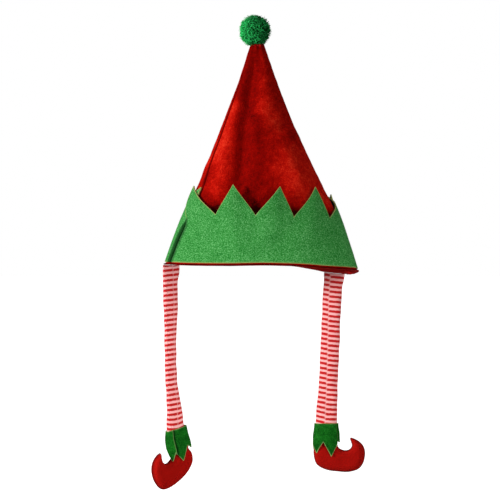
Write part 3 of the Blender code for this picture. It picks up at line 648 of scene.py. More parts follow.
def felt_panel(panel, finishes):
    """Half of the felt brim: smooth below the knee, teeth that lean on their own above it."""
    corners = BRIM_CORNERS[panel]
    stops = []
    for corner, (here, beyond) in enumerate(zip(corners, corners[1:])):
        count = max(12, math.ceil((beyond.foot - here.foot) / FELT_STEP))
        stops += [corner + step / count for step in range(count)]
    stops.append(len(corners) - 1)
    foot, along, top, flare = np.array([zigzag(corners, at) for at in stops]).T
    band = KNEE * (np.arange(FELT_BAND_ROWS + 1) / FELT_BAND_ROWS) ** 1.4
    climb = 1 - (1 - np.arange(1, FELT_TOOTH_ROWS + 1) / FELT_TOOTH_ROWS) ** 1.6
    high = np.concatenate([
        np.repeat(band[:, None], len(stops), axis=1),
        KNEE + (top - KNEE)[None, :] * climb[:, None],
    ])
    lean = np.concatenate([np.zeros(FELT_BAND_ROWS + 1), climb])[:, None]
    where = foot + (along - foot) * lean
    if panel == "front":
        where -= LAP_BOW * np.sin(np.pi * lean) * (1 - ease(foot, 0.0, 0.15))
    base = BRIM_SETBACK / CROWN_HEIGHT
    up = base + (BRIM_HEIGHT / CROWN_HEIGHT - base) * high
    start, end = seam_turns(panel, up)
    reach, _ = brim_roll(high)
    first = start + turn_for(reach + GAP / 2, start, up) * (1 - lean)
    last = end - turn_for(reach * (1 - lean) + GAP / 2, end, up)
    turn = first + (last - first) * where
    out = brim_out(panel, where, high, flare)
    plain = crown_point(turn, up, out)
    wave = FELT_WAVE * (0.5 + 0.5 * np.clip(lumps(plain, 0.085, 11), -1, 1))
    if panel == "front":
        for ridge in FELT_RIDGES:
            across = plain[..., 0] + ridge.slant * (plain[..., 2] - ridge.level)
            wave += ridge.rise * bump(across, ridge.across, ridge.wide)
        wave += TEETH_TURNED * ease(high, 0.45, 0.8) * bump(plain[..., 0], 0.0, TEETH_TURNED_WIDE)
    wave *= ease(where, 0.02, 0.15) * (1 - ease(where, 0.85, 0.98)) * ease(high, 0.0, 0.30)
    left, right = felt_ends(panel, up[:, 0], high[:, 0])
    points = np.concatenate([left, crown_point(turn, up, out + wave), right], axis=1)
    whole = points[:, len(ROLL_TURNS):-len(ROLL_TURNS)]
    free = slice(FELT_BAND_ROWS + 1, None)
    zigzag_middles = (whole[-1][:-1] + whole[-1][1:]) / 2
    edges = np.concatenate([whole[0], whole[-1], zigzag_middles, whole[free, 0], whole[free, -1]])
    # Painted shade: the felt is painted dark in its side seams and a little way beside them, most so at the
    # knee.
    wide, dark = FELT_SEAM_SHADE[panel]
    near_seam = bump(np.minimum(foot, 1 - foot) * FELT_ROUND, 0, wide)
    face_shade = dark * (0.45 + 0.55 * ease(high, 0.0, KNEE)) * near_seam
    turned = dark + (1 - dark) * np.sin(np.radians(ROLL_TURNS)) ** 2
    side = np.repeat(turned[None, :], len(high), axis=0)
    tuck_and_shade = np.concatenate([side[:, ::-1], face_shade, side], axis=1) * (1 - ease(lean, 0.0, 0.15))
    paint = {"cut": cut_line(points, edges, CUT_LINE), "tuck_and_shade": tuck_and_shade}
    piece = cut_cloth(f"felt_brim_{panel}", points, finishes, paint=paint)
    give_wall(piece, FELT_WALL)
    place(piece, f"brim_{panel}", "green_felt")
    return piece


# The pompom
def yarn_pompom(finish):
    """Cut yarn strands that spring from the middle and bend over each other at the ball's surface."""
    rng = random.Random(5)
    low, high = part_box("pompom")
    middle = (low + high) / 2
    middle.z = low.z + POMPOM_DIAMETER * POMPOM_MIDDLE
    # No strand hangs below the crown's tip where the tip is under it.
    tip = Vector(crown_point(0, 1.0)) - Vector((crown_size(1.0)[0], 0, 0))
    tip_wide, tip_deep = (size + 0.0015 for size in crown_size(1.0))
    ball = POMPOM_DIAMETER / 2
    places, faces, shade = [], [], []
    for strand in range(YARN_STRANDS):
        height = 1 - 2 * (strand + 0.5) / YARN_STRANDS
        turn = strand * math.pi * (3 - math.sqrt(5))
        level = math.sqrt(1 - height * height)
        way = Vector((level * math.cos(turn), level * math.sin(turn), height))
        tuft = 0.5 + 0.5 * math.sin(7 * way.x + 4 * way.z) * math.sin(6 * way.y + 5 * way.z + 1)
        aside = way.cross(Vector([rng.uniform(-1, 1) for _ in range(3)])).normalized()
        reach = ball * (0.93 + 0.10 * tuft + rng.uniform(-0.06, 0.05))
        bend = ball * rng.uniform(0.10, 0.50)
        thick = rng.uniform(0.00038, 0.00066)
        # Painted light: the left of the ball, toward the key light, is painted paler.
        lit_side = 0.75 * max(0.0, -way.x) - 0.15
        tone = min(1.0, max(0.0, 0.20 + 0.4 * tuft + lit_side + rng.uniform(-0.40, 0.50)))
        across = way.cross(aside)
        first = len(places)
        for ring, share in enumerate((0.0, 0.4, 0.75, 1.0)):
            out = ball * YARN_ROOT + (reach - ball * YARN_ROOT) * math.sin(share * math.pi / 2)
            spot = middle + way * out
            spot += aside * bend * share * share
            spot.z -= YARN_DROOP * share * share * max(0.0, -way.z)
            spread = thick * (1.0, 1.1, 0.95, 0.45)[ring]
            for corner in range(4):
                angle = corner * math.pi / 2
                point = spot + (aside * math.cos(angle) + across * math.sin(angle)) * spread
                over_tip = math.hypot((point.x - tip.x) / tip_wide, (point.y - tip.y) / tip_deep) < 1
                point.z = max(point.z, low.z if over_tip else low.z - 0.0045)
                places.append(point)
                # Painted shade: each strand is darker deeper in the ball.
                shade.append(min(1.0, tone * (0.55 + 0.45 * share)))
            if ring:
                for corner in range(4):
                    here, there = first + ring * 4 + corner, first + ring * 4 + (corner + 1) % 4
                    faces.append((here - 4, there - 4, there, here))
        faces.append(tuple(range(first + 12, first + 16)))
        faces.append(tuple(range(first + 3, first - 1, -1)))
    piece = stitch("yarn_pompom", places, faces, [finish], {"shade": shade})
    return place(piece, "pompom", "green_yarn")


# The legs
def leg_section(side, down):
    """Middle, half width, half thickness and the two directions of a leg at shares of the way down."""
    leg = LEGS[side]
    top = crown_point(leg.rim_turn, 0.0, RIM_LIP_OUT - PLUSH_WALL / 2)
    down = np.asarray(down, float)
    x = top[0] + LEG_DROP * read(leg.rows, "side", down)
    z = top[2] + (-LEG_DROP * leg.drop - top[2]) * down
    twist = np.radians(read(leg.rows, "twist", down))
    flat = np.zeros_like(twist)
    middle = np.stack(np.broadcast_arrays(x, top[1], z), axis=-1)
    long_side = np.stack([np.cos(twist), np.sin(twist), flat], axis=-1)
    short_side = np.stack([-np.sin(twist), np.cos(twist), flat], axis=-1)
    half_width = LEG_WIDTH / 2 * read(leg.rows, "wide", down)
    half_thickness = LEG_THICKNESS / 2 * read(leg.rows, "thick", down)
    return middle, half_width, half_thickness, long_side, short_side


def rim_underside(x):
    """The lowest height of the back of the rim at places across it."""
    share = (x - crown_point(90, 0.0)[0]) / (RIM_WIDTH / 2 + RIM_LIP_OUT)
    turn = np.degrees(np.arccos(np.clip(share, -1.0, 1.0)))
    low, high = crown_point(turn, 0.0), crown_point(turn, 0.10)
    slope = np.hypot(low[..., 0] - high[..., 0], low[..., 1] - high[..., 1]) / (high[..., 2] - low[..., 2])
    return low[..., 2] - PLUSH_WALL * slope / np.hypot(1, slope)


# The leg's front seam by its turn round the leg's section, and how the stripes run beside it: left and right
# are how steeply they climb to the right, step is how much lower the right side's stripes sit, phase moves
# them all, and sag is how far they hang at their ends near the foot.
LegLook = namedtuple("LegLook", "seam_top seam_foot left right step phase pitch sag")
LEG_LOOKS = {
    "left": LegLook(-86, -86, 0.12, 0.16, 0.0004, 0.10, 0.00700, 0.0022),
    "right": LegLook(-109, -98, -0.17, -0.10, 0.0012, 0.55, 0.00692, 0.0006),
}


def striped_leg(side, finish):
    """A stuffed jersey tube with a sewn seam down its front, where the stripes don't meet."""
    look = LEG_LOOKS[side]
    down = np.linspace(1.0, 0.0, LEG_ROWS + 1)
    middle, half_width, half_thickness, long_side, short_side = leg_section(side, down)
    angle = np.linspace(0, 360, LEG_SIDES, endpoint=False)
    seam = (look.seam_top + (look.seam_foot - look.seam_top) * down)[:, None]
    apart = np.mod(angle[None, :] - seam + 180, 360) - 180
    turn = np.radians(angle)[None, :]
    cos, sin = np.cos(turn), np.sin(turn)
    groove = LEG_GROOVE * bump(apart, 0, 5.0) * ease(down, 0.98, 0.90)[:, None]
    stitches = np.sin(down * LEG_DROP / PUCKER_PITCH * 2 * math.pi)[:, None]
    pucker = PUCKER_DEPTH * bump(np.abs(apart), 16, 11) * stitches
    wide = (half_width[:, None] - groove + pucker)[..., None]
    thick = (half_thickness[:, None] - groove + pucker)[..., None]
    toward_side, toward_front = long_side[:, None] * cos[..., None], short_side[:, None] * sin[..., None]
    points = middle[:, None] + toward_side * wide + toward_front * thick
    points += LEG_LUMP * lumps(points, 0.030, 21)[..., None] * (toward_side + toward_front)
    top = down == 0
    points[top, :, 2] = rim_underside(points[top, :, 0]) - SEAT_GAP
    # How far down the tube, with what each side of the seam adds.
    length = top_height(side) - points[..., 2]
    across = points[..., 0] - middle[:, None, 0]
    slope = np.where(apart < 0, look.left, look.right)
    hang = look.sag * ease(down, 0.75, 0.97)[:, None] * (across / (LEG_WIDTH / 2)) ** 2 * 2
    stripe = (length + slope * across + hang - np.where(apart < 0, 0.0, look.step)) / look.pitch + look.phase
    paint = {"stripe": stripe, "seam": bump(apart, 0, 3.0)}
    piece = cut_cloth(f"striped_leg_{side}", points, [finish], ring=True, paint=paint)
    close_ends(piece, LEG_SIDES)
    place(piece, f"leg_{side}", "striped_knit")
    return piece


def top_height(side):
    """The height of the rim over a leg, which its stripes are counted from."""
    return crown_point(LEGS[side].rim_turn, 0.0)[2]


def close_ends(piece, sides):
    """Closes the first and last ring of a tube."""
    mesh = piece.data
    count = len(mesh.vertices)
    faces = [tuple(p.vertices) for p in mesh.polygons]
    faces += [tuple(range(sides - 1, -1, -1)), tuple(range(count - sides, count))]
    kept = {a.name: np.empty(count, np.float32) for a in mesh.attributes if a.data_type == "FLOAT"}
    for key, values in kept.items():
        mesh.attributes[key].data.foreach_get("value", values)
    places = [tuple(v.co) for v in mesh.vertices]
    closed = stitch("closed", places, faces, list(mesh.materials), kept)
    piece.data = closed.data
    bpy.data.objects.remove(closed)


# The cuffs
def cuff_edge(side, turn):
    """How far below the ankle's top edge a cuff ends at turns round it."""
    half_pitch = 180 / len(CUFF_TEETH[side])
    longest = np.zeros_like(turn)
    for tooth in CUFF_TEETH[side]:
        apart = np.abs(np.mod(turn - tooth.turn + 180, 360) - 180)
        longest = np.maximum(longest, tooth.reach * (1 - apart / half_pitch))
    return CUFF_BAND + CUFF_TOOTH * longest


def velvet_cuff(side, finishes):
    """A velvet band with a zigzag end, made of two pieces that lap at its seams."""
    leg = LEGS[side]
    turn = np.linspace(0, 360, CUFF_COLUMNS, endpoint=False)[None, :]
    share = (1 - (1 - np.linspace(0, 1, CUFF_ROWS + 1)) ** 1.5)[::-1, None]
    below = cuff_edge(side, turn) * share
    past = below - CUFF_COVERS
    down = 1 + np.minimum(past, 0.0) / (LEG_DROP * leg.drop)
    middle, half_width, half_thickness, long_side, short_side = leg_section(side, down)
    lean = math.tan(math.radians(leg.lean))
    middle = middle + (long_side * lean + np.array([0, 0, -1.0])) * np.maximum(past, 0.0)[..., None]
    flare = ease(below, 0.0, CUFF_BAND)
    lap = np.zeros_like(below + turn)
    line, under = np.zeros_like(lap), np.zeros_like(lap)
    for seam in CUFF_SEAMS[side]:
        apart = np.mod(turn - seam + 180, 360) - 180
        over, below_it = CUFF_LAP_OVER * ease(apart, -16, 0), CUFF_LAP_UNDER * (1 - ease(apart, 0, 16))
        lap += np.where(apart < 0, over, -below_it)
        line = np.maximum(line, np.where(apart < 0, bump(apart, 0, 2.4), 0.0))
        # Painted shadow on the pile beside each lap, where the other half stands over it.
        under = np.maximum(under, np.where(apart < 0, 0.0, bump(apart, 0, 9.0)))
    half_width = half_width + CUFF_GAP + CUFF_WALL + CUFF_FLARE_WIDE * flare + lap
    half_thickness = half_thickness + CUFF_GAP + CUFF_WALL + CUFF_FLARE_DEEP * flare + lap
    angle = np.radians(turn)
    aside = half_width * np.cos(angle)
    points = middle + long_side * aside[..., None] + short_side * (half_thickness * np.sin(angle))[..., None]
    points[..., 2] += aside * lean
    wave = CUFF_WAVE * lumps(points, 0.016, 31)
    facing = long_side * np.cos(angle)[..., None] + short_side * np.sin(angle)[..., None]
    points += facing * wave[..., None]
    edges = np.concatenate([points[0], points[-1]])
    cut = np.maximum(cut_line(points, edges, CUFF_CUT_LINE), 0.5 * line)
    piece = cut_cloth(f"velvet_cuff_{side}", points, finishes, ring=True, paint={"cut": cut, "under": under})
    give_wall(piece, CUFF_WALL)
    place(piece, f"cuff_{side}", "green_velvet")
    return piece


# The shoes
def smooth_outline(corners, fine):
    """A closed curve through the corners, sharp only where the shoe is cut off inside the cuff."""
    spots = [Vector(corner) * SHOE_LENGTH for corner in corners]
    count = len(spots)
    line = []
    for i in range(count):
        before, here, beyond, after = (spots[(i + k) % count] for k in (-1, 0, 1, 2))
        if i == count - 1:
            steps = max(2, int((beyond - here).length / fine))
            line += [here.lerp(beyond, step / steps) for step in range(steps)]
            continue
        if i == 0:
            before = here
        if i == count - 2:
            after = beyond
        steps = max(2, int((beyond - here).length / fine))
        for step in range(steps):
            t = step / steps
            line.append(
                here
                + (beyond - before) * (0.5 * t)
                + (before * 2 - here * 5 + beyond * 4 - after) * (0.5 * t * t)
                + (here * 3 - before - beyond * 3 + after) * (0.5 * t**3)
            )
    return line


def felt_shoe(side, finish):
    """Two felt halves sewn on the curled outline, turned and stuffed, with the seam round the edge."""
    ankle, _, _, long_side, short_side = (np.asarray(v) for v in leg_section(side, 1.0))
    toe_way = long_side * LEGS[side].toe
    outline = smooth_outline(SHOES[side], SHOE_GRID)
    border = np.array([tuple(p) for p in outline])
    starts, ends = border, np.roll(border, -1, axis=0)

    def to_edge(spots):
        """How far spots are from the nearest side of the outline."""
        line = ends - starts
        t = ((spots[:, None] - starts) * line).sum(-1) / (line * line).sum(-1)
        nearest = starts + np.clip(t, 0, 1)[..., None] * line
        return np.linalg.norm(spots[:, None] - nearest, axis=-1).min(axis=1)

    low, high = border.min(axis=0), border.max(axis=0)
    # A grid of spots, of which those inside the outline stay: a line across from each crosses it an odd number
    # of times.
    across, down = np.meshgrid(np.arange(low[0], high[0], SHOE_GRID), np.arange(low[1], high[1], SHOE_GRID))
    across[::2] += SHOE_GRID / 2
    spots = np.stack([across.ravel(), down.ravel()], axis=1)
    crossed = np.zeros(len(spots), int)
    for (x0, y0), (x1, y1) in zip(starts, ends):
        if y0 == y1:
            continue
        between = (y0 > spots[:, 1]) != (y1 > spots[:, 1])
        crossed += between & (spots[:, 0] < x0 + (x1 - x0) * (spots[:, 1] - y0) / (y1 - y0))
    spots = spots[crossed % 2 == 1]
    spots = spots[to_edge(spots) > SHOE_GRID * 0.5]
    everything = [Vector(spot) for spot in np.concatenate([border, spots])]
    sides = [(i, (i + 1) % len(border)) for i in range(len(border))]
    net, _, faces, _, _, _ = delaunay_2d_cdt(everything, sides, [], 1, 1e-6)
    net = np.array([tuple(p) for p in net])
    edge = len(border)
    into = to_edge(net)
    into[:edge] = 0.0
    share = np.clip((into - SHOE_SEAM * 0.5) / SHOE_EDGE, 0, 1)
    puff = (SHOE_THICKNESS / 2 - SHOE_RIM) * np.sqrt(1 - (1 - share) ** 2) + SHOE_RIM * ease(into, 0.0, 0.0008)
    flat = ankle + toe_way * net[:, :1] + np.array([0, 0, -1.0]) * (net[:, 1:] + GAP)
    puff = puff * (1 + SHOE_DIMPLE * lumps(flat, 0.022, 41) / (SHOE_THICKNESS / 2))
    front = flat - short_side * puff[:, None]
    back = flat[edge:] + short_side * puff[edge:, None]
    count = len(net)
    # The front's faces turn one way and the back's the other. Both share the border.
    flipped = [[i if i < edge else i + count - edge for i in face][::-1] for face in faces]
    places = np.concatenate([front, back])
    depth = np.concatenate([into, into[edge:]])
    # rim is a painted highlight a little way in from the edge.
    paint = {"seam": 1 - ease(depth, 0.0003, 0.0016), "rim": 1 - ease(depth, 0.0010, 0.0060)}
    piece = stitch(f"felt_shoe_{side}", places, [list(face) for face in faces] + flipped, [finish], paint)
    turn_faces_out(piece)
    place(piece, f"shoe_{side}", "red_felt")
    return piece


def turn_faces_out(piece):
    """Turns every face of a closed piece outward."""
    bm = bmesh.new()
    bm.from_mesh(piece.data)
    bmesh.ops.recalc_face_normals(bm, faces=bm.faces[:])
    bm.to_mesh(piece.data)
    bm.free()


# Finishes
def linear(colour):
    """An sRGB hex colour as the linear one that the shaders want."""
    parts = [int(colour[i : i + 2], 16) / 255 for i in (1, 3, 5)]
    return tuple(c / 12.92 if c <= 0.04045 else ((c + 0.055) / 1.055) ** 2.4 for c in parts) + (1.0,)


def node(tree, kind, wires=None, **settings):
    """Adds a node with its settings. A wire is a value for a socket, or the socket that feeds it."""
    made = tree.nodes.new(f"ShaderNode{kind}")
    for key, value in settings.items():
        setattr(made, key, value)
    for key, value in (wires or {}).items():
        if isinstance(value, bpy.types.NodeSocket):
            tree.links.new(value, made.inputs[key])
        else:
            made.inputs[key].default_value = value
    return made


def new_finish(name):
    """A material without nodes yet, and its tree."""
    finish = bpy.data.materials.new(name)
    finish.use_nodes = True
    finish.node_tree.nodes.clear()
    return finish, finish.node_tree


def dyed(tree, parts, tones):
    """The colour that parts add up to, among tones at places from 0 to 1. A part is a value, or a mottled
    pattern with the lowest and highest value to spread it over, and its start and end if not 0.3 and 0.7."""
    total = None
    for part in parts:
        if isinstance(part, tuple):
            pattern, low, high, *span = part
            start, end = span or (0.3, 0.7)
            part = node(tree, "MapRange", {
                "Value": pattern.outputs[0], "From Min": start, "From Max": end, "To Min": low, "To Max": high,
            }).outputs[0]
        total = part if total is None else node(tree, "Math", {0: total, 1: part}, operation="ADD").outputs[0]
    colour = node(tree, "ValToRGB", {"Fac": total})
    stops = colour.color_ramp.elements
    stops[0].color, stops[1].color = linear(tones[0]), linear(tones[1])
    for at, tone in tones.items():
        if 0 < at < 1:
            stops.new(at).color = linear(tone)
    return colour.outputs[0]


def red_plush():
    """Short-pile polyester plush. Light and shade are painted into its colour: patches bright with painted
    light and dark with painted shade, in the valleys of the folds most of all, and painted shade at the
    notches, on the lip and in the seams. It glows at grazing angles."""
    finish, tree = new_finish("red_plush")
    where = node(tree, "TexCoord").outputs["Object"]
    # The painted light and shade that each panel carries.
    painted_light = node(tree, "Attribute", attribute_name="painted_light").outputs["Fac"]
    leaning = node(tree, "TexNoise", {"Vector": where, "Scale": 1 / 0.024, "Detail": 3.0, "Roughness": 0.55})
    tufts = node(tree, "TexNoise", {"Vector": where, "Scale": 1 / 0.0052, "Detail": 2.0, "Roughness": 0.6})
    # The pile's own hairs are 0.05 mm, too fine to show, so the speckle is drawn at 1.6 mm.
    hairs = node(tree, "TexNoise", {"Vector": where, "Scale": 1 / 0.0016, "Detail": 2.0, "Roughness": 0.7})
    colour = dyed(
        tree,
        [painted_light, (leaning, 0.38, 0.56), (tufts, -0.09, 0.09), (hairs, -0.15, 0.15)],
        {0: "#400000", 0.14: "#700200", 0.35: "#8c0400", 0.60: "#bc1206", 1: "#f04428"},
    )
    pile = node(tree, "Bump", {"Strength": 0.55, "Distance": 0.0006, "Height": hairs.outputs[0]})
    tufted = node(tree, "Bump", {
        "Strength": 0.5, "Distance": 0.0012, "Height": tufts.outputs[0], "Normal": pile.outputs[0],
    })
    surface = node(tree, "BsdfPrincipled", {
        "Base Color": colour,
        "Roughness": 0.9,
        "IOR": 1.46,
        "Specular IOR Level": 0.03,
        "Sheen Weight": 0.35,
        "Sheen Roughness": 0.35,
        "Sheen Tint": linear("#ff3018"),
        "Normal": tufted.outputs[0],
    })
    node(tree, "OutputMaterial", {"Surface": surface.outputs[0]})
    return finish


def plush_backing():
    """The knitted back of the plush, seen inside the hat and on its edges: flat, ribbed, without a pile."""
    finish, tree = new_finish("plush_backing")
    where = node(tree, "TexCoord").outputs["Object"]
    # The knit's courses are 0.5 mm apart, too fine to show, so the ribs are drawn about 3 mm apart.
    loops = node(
        tree, "TexWave", {"Vector": where, "Scale": 1 / 0.009, "Distortion": 1.5, "Detail": 2.0},
        bands_direction="Z",
    )
    colour = dyed(tree, [loops.outputs[1]], {0: "#a80c08", 1: "#cc1a14"})
    ribs = node(tree, "Bump", {"Strength": 0.5, "Distance": 0.0005, "Height": loops.outputs[1]})
    surface = node(tree, "BsdfPrincipled", {
        "Base Color": colour,
        "Roughness": 0.9,
        "IOR": 1.5,
        "Specular IOR Level": 0.2,
        "Normal": ribs.outputs[0],
    })
    node(tree, "OutputMaterial", {"Surface": surface.outputs[0]})
    return finish


def needled_felt(name, deep, main, fleck, edge):
    """Needle-punched polyester felt, 2 mm: short fibres lie every way, so it is matt, speckled with lit
    fibres, and its cut edges show the paler fibre ends."""
    finish, tree = new_finish(name)
    where = node(tree, "TexCoord").outputs["Object"]
    cut = node(tree, "Attribute", attribute_name="cut").outputs["Fac"]
    tuck_and_shade = node(tree, "Attribute", attribute_name="tuck_and_shade").outputs["Fac"]
    cloud = node(tree, "TexNoise", {"Vector": where, "Scale": 1 / 0.018, "Detail": 3.0, "Roughness": 0.6})
    # Felt fibres are 0.03 mm, so the flecks are drawn at 1.4 mm, as coarse as a lit bundle of them shows.
    fibres = node(tree, "TexNoise", {"Vector": where, "Scale": 1 / 0.0014, "Detail": 2.0, "Roughness": 0.75})
    parts = [(cloud, 0.36, 0.46), (fibres, -0.34, 0.40, 0.32, 0.68)]
    colour = dyed(tree, parts, {0: deep, 0.45: main, 1: fleck})
    # Pale cut edges, then painted shade in and beside the side seams.
    for share, tone in ((cut, edge), (tuck_and_shade, "#002a07")):
        mixed = node(tree, "Mix", {"Factor": share, "A": colour, "B": linear(tone)}, data_type="RGBA")
        colour = mixed.outputs["Result"]
    nubs = node(tree, "Bump", {"Strength": 0.6, "Distance": 0.0005, "Height": fibres.outputs[0]})
    surface = node(tree, "BsdfPrincipled", {
        "Base Color": colour,
        "Roughness": 0.95,
        "IOR": 1.5,
        "Specular IOR Level": 0.05,
        "Sheen Weight": 0.05,
        "Sheen Roughness": 0.5,
        "Normal": nubs.outputs[0],
    })
    node(tree, "OutputMaterial", {"Surface": surface.outputs[0]})
    return finish


def cut_yarn():
    """Acrylic yarn, cut and fluffed. Each strand has its own tone, with painted shade deep in the ball, lighter
    at its end, and painted light on the ball's left side."""
    finish, tree = new_finish("cut_yarn")
    where = node(tree, "TexCoord").outputs["Object"]
    shade = node(tree, "Attribute", attribute_name="shade").outputs["Fac"]
    # The yarn's fibres are 0.02 mm, so the fluff is drawn at 1.2 mm.
    fluff = node(tree, "TexNoise", {"Vector": where, "Scale": 1 / 0.0012, "Detail": 2.0})
    colour = dyed(tree, [shade, (fluff, -0.12, 0.12)], {0: "#00340a", 1: "#38e074"})
    surface = node(tree, "BsdfPrincipled", {
        "Base Color": colour,
        "Roughness": 0.85,
        "IOR": 1.5,
        "Specular IOR Level": 0.08,
        "Sheen Weight": 0.15,
        "Sheen Roughness": 0.4,
        "Sheen Tint": linear("#30e070"),
    })
    node(tree, "OutputMaterial", {"Surface": surface.outputs[0]})
    return finish


def striped_jersey():
    """Yarn-dyed cotton jersey with red and white bands. The dye bleeds a little into the white, the bands'
    borders follow the knitted loops, and the thread pulls the seam to one pale tone."""
    finish, tree = new_finish("striped_jersey")
    where = node(tree, "TexCoord").outputs["Object"]
    along = node(tree, "Attribute", attribute_name="stripe").outputs["Fac"]
    seam = node(tree, "Attribute", attribute_name="seam").outputs["Fac"]
    wobble = node(tree, "TexNoise", {"Vector": where, "Scale": 1 / 0.004, "Detail": 1.0})
    shift = node(tree, "MapRange", {"Value": wobble.outputs[0], "To Min": -0.09, "To Max": 0.09})
    shifted = node(tree, "Math", {0: along, 1: shift.outputs[0]}, operation="ADD")
    bands = node(tree, "Math", {0: shifted.outputs[0], 1: 2 * math.pi}, operation="MULTIPLY")
    wave = node(tree, "Math", {0: bands.outputs[0]}, operation="SINE")
    red = node(tree, "MapRange", {"Value": wave.outputs[0], "From Min": -0.5, "From Max": 0.3})
    colour = dyed(tree, [red.outputs[0]], {0: "#f8b6b4", 0.3: "#f09492", 1: "#c01014"})
    # A loop of the knit is 0.6 mm wide, so the ribs are drawn at 1.2 mm.
    loops = node(tree, "TexNoise", {"Vector": where, "Scale": 1 / 0.0012, "Detail": 2.0})
    pulled = node(tree, "Math", {0: seam, 1: 0.55}, operation="MULTIPLY")
    sewn = node(
        tree, "Mix", {"Factor": pulled.outputs[0], "A": colour, "B": linear("#eda9a6")}, data_type="RGBA",
    )
    knit = node(tree, "Bump", {"Strength": 0.4, "Distance": 0.0004, "Height": loops.outputs[0]})
    surface = node(tree, "BsdfPrincipled", {
        "Base Color": sewn.outputs["Result"],
        "Roughness": 0.85,
        "IOR": 1.5,
        "Specular IOR Level": 0.2,
        "Sheen Weight": 0.1,
        "Sheen Roughness": 0.5,
        "Normal": knit.outputs[0],
    })
    node(tree, "OutputMaterial", {"Surface": surface.outputs[0]})
    return finish


def green_velvet():
    """Cut velvet: a deep green pile that swallows light seen straight on and glows at its turned edges,
    crushed in small patches, with the cut edges fraying to a paler thread."""
    finish, tree = new_finish("green_velvet")
    where = node(tree, "TexCoord").outputs["Object"]
    cut = node(tree, "Attribute", attribute_name="cut").outputs["Fac"]
    under = node(tree, "Attribute", attribute_name="under").outputs["Fac"]
    crushed = node(tree, "TexNoise", {"Vector": where, "Scale": 1 / 0.009, "Detail": 3.0, "Roughness": 0.6})
    # The pile's tufts are 0.3 mm, so the flecks are drawn at 1.7 mm.
    hairs = node(tree, "TexNoise", {"Vector": where, "Scale": 1 / 0.0017, "Detail": 2.0, "Roughness": 0.75})
    colour = dyed(tree, [(crushed, 0.18, 0.58), (hairs, -0.42, 0.42)], {0: "#003c06", 1: "#1d781f"})
    # Pale cut edges, and a painted shadow on the pile beside each lap of the other half.
    for share, tone in ((cut, "#7f9e5c"), (under, "#011a04")):
        mixed = node(tree, "Mix", {"Factor": share, "A": colour, "B": linear(tone)}, data_type="RGBA")
        colour = mixed.outputs["Result"]
    pile = node(tree, "Bump", {"Strength": 0.5, "Distance": 0.0005, "Height": hairs.outputs[0]})
    surface = node(tree, "BsdfPrincipled", {
        "Base Color": colour,
        "Roughness": 0.8,
        "IOR": 1.46,
        "Specular IOR Level": 0.04,
        "Sheen Weight": 0.35,
        "Sheen Roughness": 0.3,
        "Sheen Tint": linear("#50e050"),
        "Normal": pile.outputs[0],
    })
    node(tree, "OutputMaterial", {"Surface": surface.outputs[0]})
    return finish


def shoe_felt():
    """Red craft felt, turned and stuffed: matt, clouded, with a painted highlight a little way in from the
    edge, and dark in the seam itself."""
    finish, tree = new_finish("shoe_felt")
    where = node(tree, "TexCoord").outputs["Object"]
    seam = node(tree, "Attribute", attribute_name="seam").outputs["Fac"]
    rim = node(tree, "Attribute", attribute_name="rim").outputs["Fac"]
    cloud = node(tree, "TexNoise", {"Vector": where, "Scale": 1 / 0.012, "Detail": 3.0, "Roughness": 0.6})
    # The fibres are 0.03 mm as in the brim, and matted by the turning, so their speckle is drawn at 2 mm.
    fibres = node(tree, "TexNoise", {"Vector": where, "Scale": 1 / 0.002, "Detail": 2.0, "Roughness": 0.7})
    colour = dyed(tree, [(cloud, 0.25, 0.60), (fibres, -0.12, 0.12)], {0: "#900a06", 1: "#a20f08"})
    # A painted highlight near the edge, then the dark seam.
    for share, tone in ((rim, "#a6110a"), (seam, "#5c0606")):
        mixed = node(tree, "Mix", {"Factor": share, "A": colour, "B": linear(tone)}, data_type="RGBA")
        colour = mixed.outputs["Result"]
    nubs = node(tree, "Bump", {"Strength": 0.4, "Distance": 0.0004, "Height": fibres.outputs[0]})
    surface = node(tree, "BsdfPrincipled", {
        "Base Color": colour,
        "Roughness": 0.95,
        "IOR": 1.5,
        "Specular IOR Level": 0.04,
        "Sheen Weight": 0.08,
        "Sheen Roughness": 0.45,
        "Sheen Tint": linear("#ff5040"),
        "Normal": nubs.outputs[0],
    })
    node(tree, "OutputMaterial", {"Surface": surface.outputs[0]})
    return finish


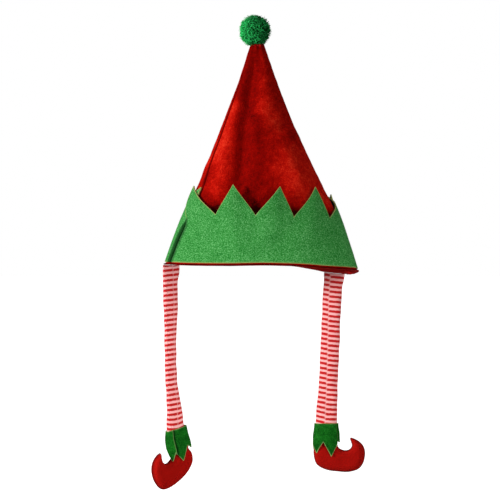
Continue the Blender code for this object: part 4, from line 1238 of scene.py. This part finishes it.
# Studio
def studio():
    """A plain white studio: a soft light from the left front, a weak one from the front, weak light all round,
    and a narrow beam for the left leg, which is turned away from the first. Floor and backdrop are white."""
    world = bpy.data.worlds.new("studio")
    bpy.context.scene.world = world
    world.use_nodes = True
    tree = world.node_tree
    tree.nodes.clear()
    seen = node(tree, "LightPath").outputs["Is Camera Ray"]
    around = node(tree, "Background", {"Color": (1, 1, 1, 1), "Strength": 0.24})
    backdrop = node(tree, "Background", {"Color": (1, 1, 1, 1), "Strength": 1.0})
    both = node(tree, "MixShader", {0: seen, 1: around.outputs[0], 2: backdrop.outputs[0]})
    node(tree, "OutputWorld", {"Surface": both.outputs[0]})

    hat, leg = Vector((0, 0, 0.1)), Vector((-0.125, 0, -0.185))
    for name, spot, size, power in (
        ("key", (-2.6, -1.25, 0.45), 0.7, 94),
        ("fill", (0.7, -2.9, 0.2), 1.6, 11),
    ):
        lamp = bpy.data.lights.new(name, "AREA")
        lamp.shape = "DISK"
        lamp.size = size
        lamp.energy = power
        hang(lamp, spot, hat)
    beam = bpy.data.lights.new("leg_beam", "SPOT")
    beam.energy = 620
    beam.shadow_soft_size = 0.25
    beam.spot_size = math.radians(7.2)
    beam.spot_blend = 0.6
    hang(beam, (2.1, -2.3, -0.16), leg)

    paper, tree = new_finish("floor_paper")
    matt = node(tree, "BsdfDiffuse", {"Color": (0.8, 0.8, 0.8, 1)})
    glow = node(tree, "Emission", {"Color": (1, 1, 1, 1), "Strength": 1.0})
    white = node(tree, "AddShader", {0: matt.outputs[0], 1: glow.outputs[0]})
    node(tree, "OutputMaterial", {"Surface": white.outputs[0]})
    low = cad_low.z - 0.035
    reach = 30.0
    corners = [(-reach, -reach, low), (reach, -reach, low), (reach, reach, low), (-reach, reach, low)]
    floor = stitch("floor", corners, [(0, 1, 2, 3)], [paper])
    floor.visible_diffuse = False
    floor.visible_glossy = False


def hang(lamp, spot, aim):
    """Hangs a lamp at a spot, turned to what it lights."""
    holder = bpy.data.objects.new(lamp.name, lamp)
    holder.location = spot
    holder.rotation_euler = (aim - Vector(spot)).to_track_quat("-Z", "Y").to_euler()
    bpy.context.scene.collection.objects.link(holder)


def camera():
    """Where the photo was taken from: level, a little above the rim, far enough off to flatten the hat."""
    distance, height, aside = 3.4, 0.0196, -0.01575
    seen_wide = 0.70
    lens = bpy.data.cameras.new("camera")
    lens.sensor_width = 36
    lens.lens = distance * 36 / seen_wide
    holder = bpy.data.objects.new("camera", lens)
    holder.location = (aside, -distance, height)
    holder.rotation_euler = (math.radians(90), 0, 0)
    bpy.context.scene.collection.objects.link(holder)
    bpy.context.scene.camera = holder


camera()
studio()
bpy.context.scene.view_settings.view_transform = "Standard"
plush, backing = red_plush(), plush_backing()
felt = needled_felt("green_felt", "#0a5616", "#348a3a", "#80cc80", "#a3ad62")
# The felt's inside is a darker copy of the felt: painted shade.
felt_inside = needled_felt("green_felt_painted_shade", "#04180a", "#0a2a10", "#1a4a22", "#1a4a22")
felt_cut = needled_felt("green_felt_cut", "#3f6a2c", "#7f9450", "#b0b878", "#a3ad62")
jersey, velvet, shoes = striped_jersey(), green_velvet(), shoe_felt()
for panel in ("front", "back"):
    plush_panel(panel, [plush, backing])
    felt_panel(panel, [felt, felt_inside, felt_cut])
yarn_pompom(cut_yarn())
for side in ("left", "right"):
    striped_leg(side, jersey)
    velvet_cuff(side, [velvet, velvet])
    felt_shoe(side, shoes)
